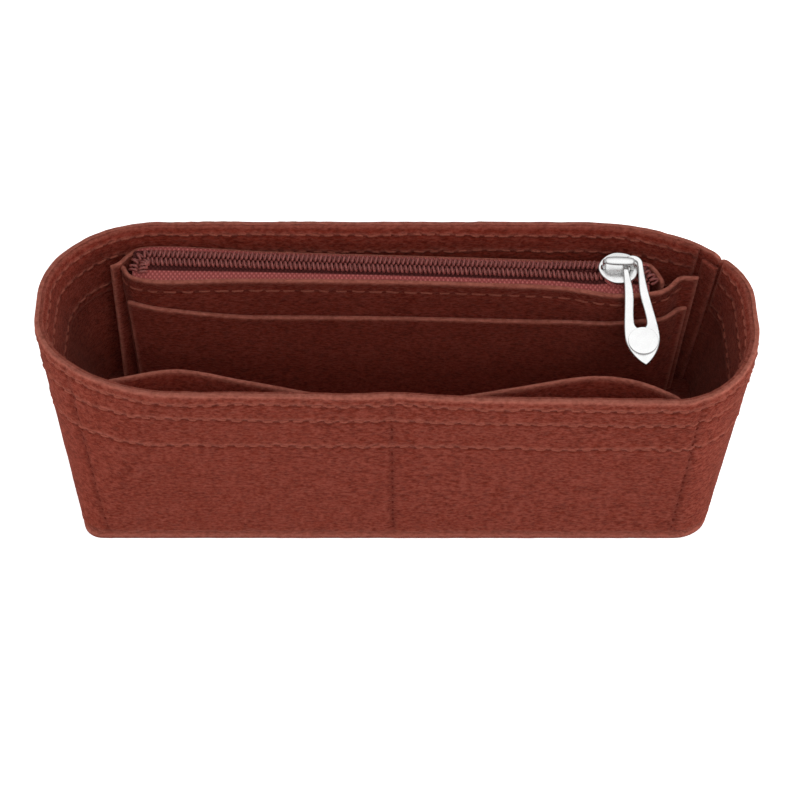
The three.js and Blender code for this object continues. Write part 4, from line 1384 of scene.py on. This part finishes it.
def make_pouch():
    make_panel("felt_pouch_back", "pouch_back", POUCH_BACK, POUCH_BACK_TOP, 90)
    front, normals, up = make_panel(
        "felt_pouch_front", "pouch_front", POUCH_FRONT, POUCH_FRONT_TOP, 100, rows=(POUCH_ROW_BELOW_EDGE,))
    row = np.argmin(np.abs(up - (up[-1] - POUCH_ROW_BELOW_EDGE)))
    stitches = stitch_row(
        front[:, row], normals[:, row], pitch=POUCH_STITCH_PITCH, share=POUCH_STITCH_SHARE, lift=0.22)
    make_sewing("pouch_stitches", stitches)
    make_panel("felt_slip_pocket", "slip_pocket", SLIP_POCKET, POUCH_FRONT_TOP, 110,
               top_below=slip_below_rim)


# Zip tapes and coils


def tape_sections(side, edge):
    """Lines across a tape, from its edge beside the chain over the felt's edge and down the felt."""
    curves = POUCH_FRONT if side < 0 else POUCH_BACK
    reference_top = POUCH_FRONT_TOP if side < 0 else POUCH_BACK_TOP
    x, edge_y, edge_z = edge.T
    slope = math.tan(math.radians(ZIP_TILT))
    standoff = FELT / 2 + LAYER_GAP + TAPE / 2
    top_y = panel_y(curves, reference_top, x, np.full(len(x), reference_top))
    away = side * standoff * np.hypot(1, np.gradient(top_y, x))
    turn_y = panel_y(curves, reference_top, x, edge_z + slope * (top_y - away - edge_y)) - away
    turn_z = edge_z + slope * (turn_y - edge_y)
    foot_z = turn_z - TAPE_TURN_DOWN
    foot_y = panel_y(curves, reference_top, x, foot_z) - away
    start = edge[:, None, 1:]
    corner = np.column_stack([turn_y, turn_z])[:, None]
    end = np.column_stack([foot_y, foot_z])[:, None]
    first = corner + unit(start - corner) * TAPE_TURN_RADIUS
    second = corner + unit(end - corner) * TAPE_TURN_RADIUS
    turns = np.linspace(0, 1, TAPE_TURN_POINTS)[:, None]
    bend = (1 - turns) ** 2 * first + 2 * turns * (1 - turns) * corner + turns ** 2 * second
    steps = np.linspace(0, 1, TAPE_FLAT_POINTS)[:, None]
    return np.concatenate([mix(start, first, steps[:-1]), bend, mix(second, end, steps[1:])], axis=1)


def make_tape(side, place):
    along = edge_places(CHAIN_END - CHAIN_START)
    u = CHAIN_START + along
    edge = on_zip(np.column_stack([u, side * (TAPE_EDGE + spread(u)), np.full(len(u), -TAPE / 2)]))
    sections = tape_sections(side, edge)
    width = run_along(sections[len(sections) // 2])[-1]
    beside_coil = COIL_SPACING / 2 + COIL_WIDTH - TAPE_EDGE
    places = closer_places(edge_places(width, TAPE_STEP), [beside_coil], COIL_SHADOW_REACH, COIL_SHADOW_STEP)
    grid = np.empty((len(along), len(places), 3))
    grid[..., 0] = edge[:, :1]
    for column, section in enumerate(sections):
        run = run_along(section)
        grid[column, :, 1:] = resampled(places / places[-1] * run[-1], run, section)
    ribs = TAPE_RIB * np.sin(FULL_TURN * along / TAPE_RIB_PITCH)[:, None]
    # Painted shadow: a dark line on the tape just beside the coil, and painted shade on the tape under the
    # coil
    line = COIL_SHADOW_DARK * bell(places - beside_coil - COIL_SHADOW_FROM_COIL, COIL_SHADOW_WIDTH)
    dark = np.maximum(line, np.where(places < beside_coil, UNDER_COIL_SHADE, 0))
    piece, *_ = felt_sheet(
        f"woven_tape_{place}", grid, along, places, thickness=TAPE, painted_shade_front=dark, painted_shade_back=dark,
        **{"front" if side < 0 else "back": ribs})
    dress(piece, TAPE_FINISH, "zip_tape", "tub", f"zip_tape_{place}")


def bent_chain(u, v, w):
    """Chain points, with both ends of the chain turned forward."""
    head_bend_at = CHAIN_START + HEAD_BEND_FROM_START
    tail = np.maximum(0, u - TAIL_BEND_AT) / TAIL_BEND_RADIUS
    head_run = np.maximum(0, head_bend_at - u)
    head = np.minimum(head_run / HEAD_BEND_RADIUS, math.pi / 2)
    beyond = head_run - head * HEAD_BEND_RADIUS
    centre_u = np.clip(u, head_bend_at, TAIL_BEND_AT)
    centre_u = centre_u + TAIL_BEND_RADIUS * np.sin(tail) - HEAD_BEND_RADIUS * np.sin(head)
    centre_v = -TAIL_BEND_RADIUS * (1 - np.cos(tail)) - HEAD_BEND_RADIUS * (1 - np.cos(head)) - beyond
    turn = tail - head
    return np.column_stack([centre_u + v * np.sin(turn), centre_v + v * np.cos(turn), w])


def make_coil(side, place):
    turns = int((CHAIN_END + COIL_TAIL - CHAIN_START + COIL_HEAD - COIL_WIRE) / COIL_PITCH)
    turn = np.arange(turns * COIL_STEPS + 1) * 2 * math.pi / COIL_STEPS
    shift = 0 if side < 0 else COIL_PITCH / 2
    u = CHAIN_START - COIL_HEAD + COIL_WIRE / 2 + shift + COIL_PITCH * turn / FULL_TURN
    middle = side * (COIL_SPACING / 2 + COIL_WIDTH / 2 + spread(u))
    v = middle - side * (COIL_WIDTH - COIL_WIRE) / 2 * np.cos(turn)
    w = LAYER_GAP + COIL_HEIGHT / 2 + (COIL_HEIGHT - COIL_WIRE) / 2 * np.sin(turn)
    line = on_zip(bent_chain(u, v, w))
    ahead = unit(np.gradient(line, axis=0))
    aside = unit(np.cross(ahead, ZIP_TURN[:, 0]))
    out = np.cross(aside, ahead)
    piece = make_mesh(
        f"nylon_coil_{place}", *tube(line, out * COIL_WIRE / 2, aside * COIL_WIRE / 2, COIL_SIDES))
    weld(piece)
    dress(piece, COIL_FINISH, "zip_coil", "tub", f"zip_coil_{place}")


# Slider and puller


def bezier(start, *segments, steps=14):
    """Outline points from a start and cubic segments of two handles and an end."""
    points = [np.array(start, float)]
    for segment in segments:
        p0, (p1, p2, p3) = points[-1], np.array(segment, float)
        for t in np.linspace(0, 1, steps + 1)[1:]:
            point = (1 - t) ** 3 * p0 + 3 * (1 - t) ** 2 * t * p1 + 3 * (1 - t) * t ** 2 * p2 + t ** 3 * p3
            points.append(point)
    return np.array(points)


def with_mirror_image(half, axis):
    """Half of an outline, followed by its mirror image back to the start."""
    image = half[::-1].copy()
    image[:, axis] *= -1
    return np.concatenate([half, image[1:]])


def oval(centre, half_x, half_y, count=24):
    turns = np.linspace(0, FULL_TURN, count + 1)[:-1]
    return [(centre[0] + half_x * math.cos(a), centre[1] + half_y * math.sin(a)) for a in turns]


def half_circle(radius, steps):
    return [(radius * math.cos(a), radius * math.sin(a)) for a in np.linspace(0, math.pi, steps + 1)]


def plate(outlines, thickness, bevel, place):
    """Bevelled flat casting from closed outlines, the later ones being holes."""
    curve = bpy.data.curves.new("outline", "CURVE")
    curve.dimensions = "2D"
    curve.fill_mode = "BOTH"
    curve.extrude = (thickness / 2 - bevel) * MM
    curve.bevel_depth = bevel * MM
    curve.bevel_resolution = 4
    curve.offset = -bevel * MM
    for outline in outlines:
        spline = curve.splines.new("POLY")
        spline.points.add(len(outline) - 1)
        for point, (x, y) in zip(spline.points, outline):
            point.co = (x * MM, y * MM, 0, 1)
        spline.use_cyclic_u = True
    holder = bpy.data.objects.new("outline", curve)
    bpy.context.scene.collection.objects.link(holder)
    shaped = holder.evaluated_get(bpy.context.evaluated_depsgraph_get())
    mesh = bpy.data.meshes.new_from_object(shaped)
    bpy.data.objects.remove(holder)
    vertices = np.array([tuple(vertex.co) for vertex in mesh.vertices]) / MM
    faces = [list(polygon.vertices) for polygon in mesh.polygons]
    bpy.data.meshes.remove(mesh)
    return place(vertices), faces


def on_slider_at(centre, crown=0.0):
    """Function that places a casting's points on the slider, its top swelling by a crown."""
    def place(vertices):
        moved = vertices + np.array(centre)
        along = vertices[:, 0] / (SLIDER_LENGTH / 2)
        across = vertices[:, 1] / (SLIDER_WIDTH / 2)
        moved[:, 2] += crown * np.maximum(0, 1 - along ** 2 - across ** 2) * (vertices[:, 2] > 0)
        return on_slider(moved)

    return place


def rounded_box(size, centre, bevel):
    half_x, half_y = size[0] / 2, size[1] / 2
    outline = [(-half_x, -half_y), (half_x, -half_y), (half_x, half_y), (-half_x, half_y)]
    return plate([outline], size[2], bevel, on_slider_at(centre))


def plate_outline(length, width, shift=0.0):
    """Outline of a slider's plate, with handles at shares of its length and its half width."""
    tip = shift - length / 2
    heel = shift + length / 2
    half = width / 2
    return with_mirror_image(bezier(
        (tip, 0),
        ((tip + 0.1, -half * 0.5), (-length * 0.26, -half), (-length * 0.04, -half)),
        ((length * 0.2, -half), (heel, -half * 0.85), (heel, 0)),
    ), axis=1)[:-1]


def make_casting(name, parts, body, node):
    piece = make_mesh(name, *merged(parts))
    weld(piece)
    crease(piece, CASTING_CREASE_ANGLE)
    dress(piece, METAL_FINISH, "bright_metal", body, node)


PLATE_TOP = TOP_PLATE_FLOOR + SLIDER_PLATE


def make_slider():
    outline = plate_outline(SLIDER_LENGTH, PLATE_LOOK_WIDTH, PLATE_LOOK_SHIFT)
    eye = oval((NOSE_EYE_AT, 0), *NOSE_EYE)
    top_at = on_slider_at((0, 0, TOP_PLATE_FLOOR + SLIDER_PLATE / 2), PLATE_CROWN)
    top = plate([outline, eye], SLIDER_PLATE, PLATE_BEVEL, top_at)
    foot_at = on_slider_at((0, 0, FOOT_PLATE_CEILING - SLIDER_PLATE / 2))
    foot_outline = plate_outline(FOOT_PLATE_LENGTH, FOOT_PLATE_WIDTH)
    foot = plate([foot_outline], SLIDER_PLATE, FOOT_PLATE_BEVEL, foot_at)
    post_height = TOP_PLATE_FLOOR - FOOT_PLATE_CEILING
    post_size = (POST_SPAN[1] - POST_SPAN[0], POST_THICKNESS, post_height + POST_SINK)
    post_centre = ((POST_SPAN[0] + POST_SPAN[1]) / 2, 0, FOOT_PLATE_CEILING + post_height / 2)
    post = rounded_box(post_size, post_centre, POST_BEVEL)
    lip_size = (LIP_LENGTH, LIP_THICKNESS, TOP_PLATE_FLOOR - LIP_CLEARANCE + LIP_SINK)
    lip_v = SLIDER_WIDTH / 2 - LIP_INSET - LIP_THICKNESS / 2
    skirt_at = on_slider_at((0, 0, TOP_PLATE_FLOOR + SLIDER_PLATE / 4 - SKIRT_DROP / 2))
    lips = []
    skirts = []
    for side in (-1, 1):
        lip_centre = (LIP_AT, side * lip_v, LIP_CLEARANCE + lip_size[2] / 2)
        lips.append(rounded_box(lip_size, lip_centre, LIP_BEVEL))
        outer = sorted((x, y) for x, y in outline if side * y > 0 and abs(x) < SKIRT_REACH)
        inner = [(x, y - side * SKIRT_THICKNESS) for x, y in reversed(outer)]
        skirts.append(plate([outer + inner], SKIRT_DROP + SLIDER_PLATE / 2, SKIRT_BEVEL, skirt_at))
    make_casting("slider_casting", [top, foot, post, *lips, *skirts], "slider", "slider_body")


def make_bridge():
    foot = PLATE_TOP - BRIDGE_SINK
    ceiling = PLATE_TOP + BRIDGE_WINDOW
    crown = ceiling + BRIDGE_BAR
    top = crown - BRIDGE_TOP_DROP
    left, right = BRIDGE_SPAN

    def shoulder(end, inward):
        handles = ((end, crown - BRIDGE_SHOULDER_DROP), (end + inward * BRIDGE_SHOULDER_HANDLE, top))
        start = (end, ceiling - BRIDGE_SHOULDER_DROP)
        return bezier(start, (*handles, (end + inward * BRIDGE_SHOULDER, top))).tolist()

    outline = [
        (left, foot), (left + PILLAR, foot), (left + PILLAR, ceiling),
        (right - PILLAR, ceiling), (right - PILLAR, foot), (right, foot),
        *shoulder(right, -1), *reversed(shoulder(left, 1)),
    ]

    def place(vertices):
        return on_slider(np.column_stack([vertices[:, 0], -vertices[:, 2], vertices[:, 1]]))

    arch = plate([outline], PILLAR_WIDTH, BRIDGE_BEVEL, place)
    stations = np.linspace(0, math.pi, CAP_RINGS)
    swell = np.maximum(SMALLEST_LOOP, np.sin(stations)) ** CAP_ROUNDING
    along = mix(*CAP_SPAN, (1 - np.cos(stations)) / 2)
    zero = np.zeros(CAP_RINGS)
    line = np.column_stack([along, zero, zero + ceiling + BRIDGE_BAR / 2 + CAP_LIFT])
    across = np.column_stack([zero, CAP_WIDTH / 2 * swell, zero])
    up = np.column_stack([zero, zero, (BRIDGE_BAR / 2 + CAP_SWELL) * swell])
    cap_points, cap_faces = tube(line, across, up, CAP_SIDES)
    make_casting("slider_arch", [arch, (on_slider(cap_points), cap_faces)], "slider", "slider_bridge")


def make_puller():
    half = PULLER_HALF_WIDTH
    body = with_mirror_image(bezier(
        (-RING_OUTER, 0),
        ((-RING_OUTER, -NECK_HANDLE), (-half, -FLARE_HANDLE), (-half, -DISC_AT + FLARE_ABOVE_DISC)),
        ((-half, -DISC_AT - BELLY_HANDLE), (-TIP_HANDLE[0], -PULLER_TIP + TIP_HANDLE[1]), (0, -PULLER_TIP)),
    ), axis=0)
    waist, wide, end = WINDOW_WAIST, WINDOW_HALF_WIDTH, WINDOW_ROUNDING - WINDOW_END
    neck_top, neck_foot, flare_top, flare_foot = WINDOW_HANDLES
    window = bezier(
        (-RING_INNER, 0),
        ((-RING_INNER, -neck_top), (-waist, -neck_foot), (-waist, -WINDOW_WAIST_AT)),
        ((-waist, -flare_top), (-wide, -flare_foot), (-wide, end)),
        ((-wide, -WINDOW_END), (wide, -WINDOW_END), (wide, end)),
        ((wide, -flare_foot), (waist, -flare_top), (waist, -WINDOW_WAIST_AT)),
        ((waist, -neck_foot), (RING_INNER, -neck_top), (RING_INNER, 0)),
    )
    outline = half_circle(RING_OUTER, 24) + body[1:-1].tolist()
    hole = half_circle(RING_INNER, 20) + window[1:-1].tolist()
    pivot = np.array([BRIDGE_SPAN[1] - PILLAR / 2, 0, PLATE_TOP + BRIDGE_WINDOW / 2 + PULLER_LIFT])
    turn = turn_about_z(PULLER_YAW) @ turn_about_x(PULLER_DROOP)
    disc_height = PULLER_THICKNESS / 2 + DISC_RISE

    def place(vertices):
        return on_slider(vertices @ turn.T + pivot)

    def place_disc(vertices):
        return place(vertices + np.array([0, 0, disc_height / 2]))

    loop = plate([outline, hole], PULLER_THICKNESS, PULLER_BEVEL, place)
    disc_outline = oval((0, -DISC_AT), DISC_RADIUS, DISC_RADIUS, 48)
    disc = plate([disc_outline], disc_height, DISC_BEVEL, place_disc)
    make_casting("zip_pull", [loop, disc], "pull", "puller")


# Floor, light and camera


def make_floor():
    corners = [(x * FLOOR_REACH, y * FLOOR_REACH, 0) for x, y in ((-1, -1), (1, -1), (1, 1), (-1, 1))]
    floor = make_mesh("floor", corners, [[0, 1, 2, 3]])
    nodes = Nodes(bpy.data.materials.new("pale_floor"))
    seen = nodes.math("MULTIPLY", nodes.add("LightPath")["Is Camera Ray"], FLOOR_GLOW)
    nodes.set(Base_Color=FLOOR_COLOUR, Roughness=0.9, Emission_Color=WHITE, Emission_Strength=seen)
    floor.data.materials.append(nodes.material)


def make_world():
    """White to the camera, brighter overhead in reflections and dim as a light."""
    world = bpy.data.worlds.new("studio")
    bpy.context.scene.world = world
    nodes = Nodes(world, "Background")
    path = nodes.add("LightPath")
    mirrored = nodes.math("MAXIMUM", path["Is Glossy Ray"], path["Is Transmission Ray"])
    height = nodes.add("SeparateXYZ", {0: nodes.add("TexCoord")["Generated"]})["Z"]
    overhead = nodes.span(height, *MIRRORED_FROM, MIRRORED_HORIZON, MIRRORED_OVERHEAD)
    strength = nodes.choose(mirrored, AMBIENT, overhead)
    nodes.set(Color=WHITE, Strength=nodes.choose(path["Is Camera Ray"], strength, 1.0))


def aim(holder, place, target):
    bpy.context.scene.collection.objects.link(holder)
    holder.location = place
    holder.rotation_euler = Vector(target - place).to_track_quat("-Z", "Y").to_euler()


def make_lamps():
    for name, (place, target_height, size, power) in LAMPS.items():
        lamp = bpy.data.lights.new(name, "AREA")
        lamp.shape = "RECTANGLE"
        lamp.size, lamp.size_y = size
        lamp.energy = power
        holder = bpy.data.objects.new(name, lamp)
        holder.visible_glossy = False
        aim(holder, np.array(place), np.array([0, 0, target_height]))


def make_camera():
    camera = bpy.data.cameras.new("camera")
    camera.sensor_width = SENSOR
    camera.lens = FOCAL_PIXELS / IMAGE_PIXELS * SENSOR
    camera.shift_x = (IMAGE_PIXELS / 2 - CENTRE_PIXELS[0]) / IMAGE_PIXELS
    camera.shift_y = (CENTRE_PIXELS[1] - IMAGE_PIXELS / 2) / IMAGE_PIXELS
    camera.clip_start, camera.clip_end = CAMERA_CLIP
    holder = bpy.data.objects.new("camera", camera)
    rise = math.radians(CAMERA_ELEVATION)
    target = np.array(CAMERA_TARGET) * MM
    aim(holder, target + CAMERA_DISTANCE * MM * np.array([0, -math.cos(rise), math.sin(rise)]), target)
    bpy.context.scene.camera = holder


make_wall(make_seam_strip())
make_facing()
make_base()
make_pockets()
make_pouch()
for make in (make_tape, make_coil):
    make(-1, "front")
    make(1, "rear")
make_slider()
make_bridge()
make_puller()
make_floor()
make_world()
make_camera()
make_lamps()
bpy.context.scene.view_settings.view_transform = "Standard"
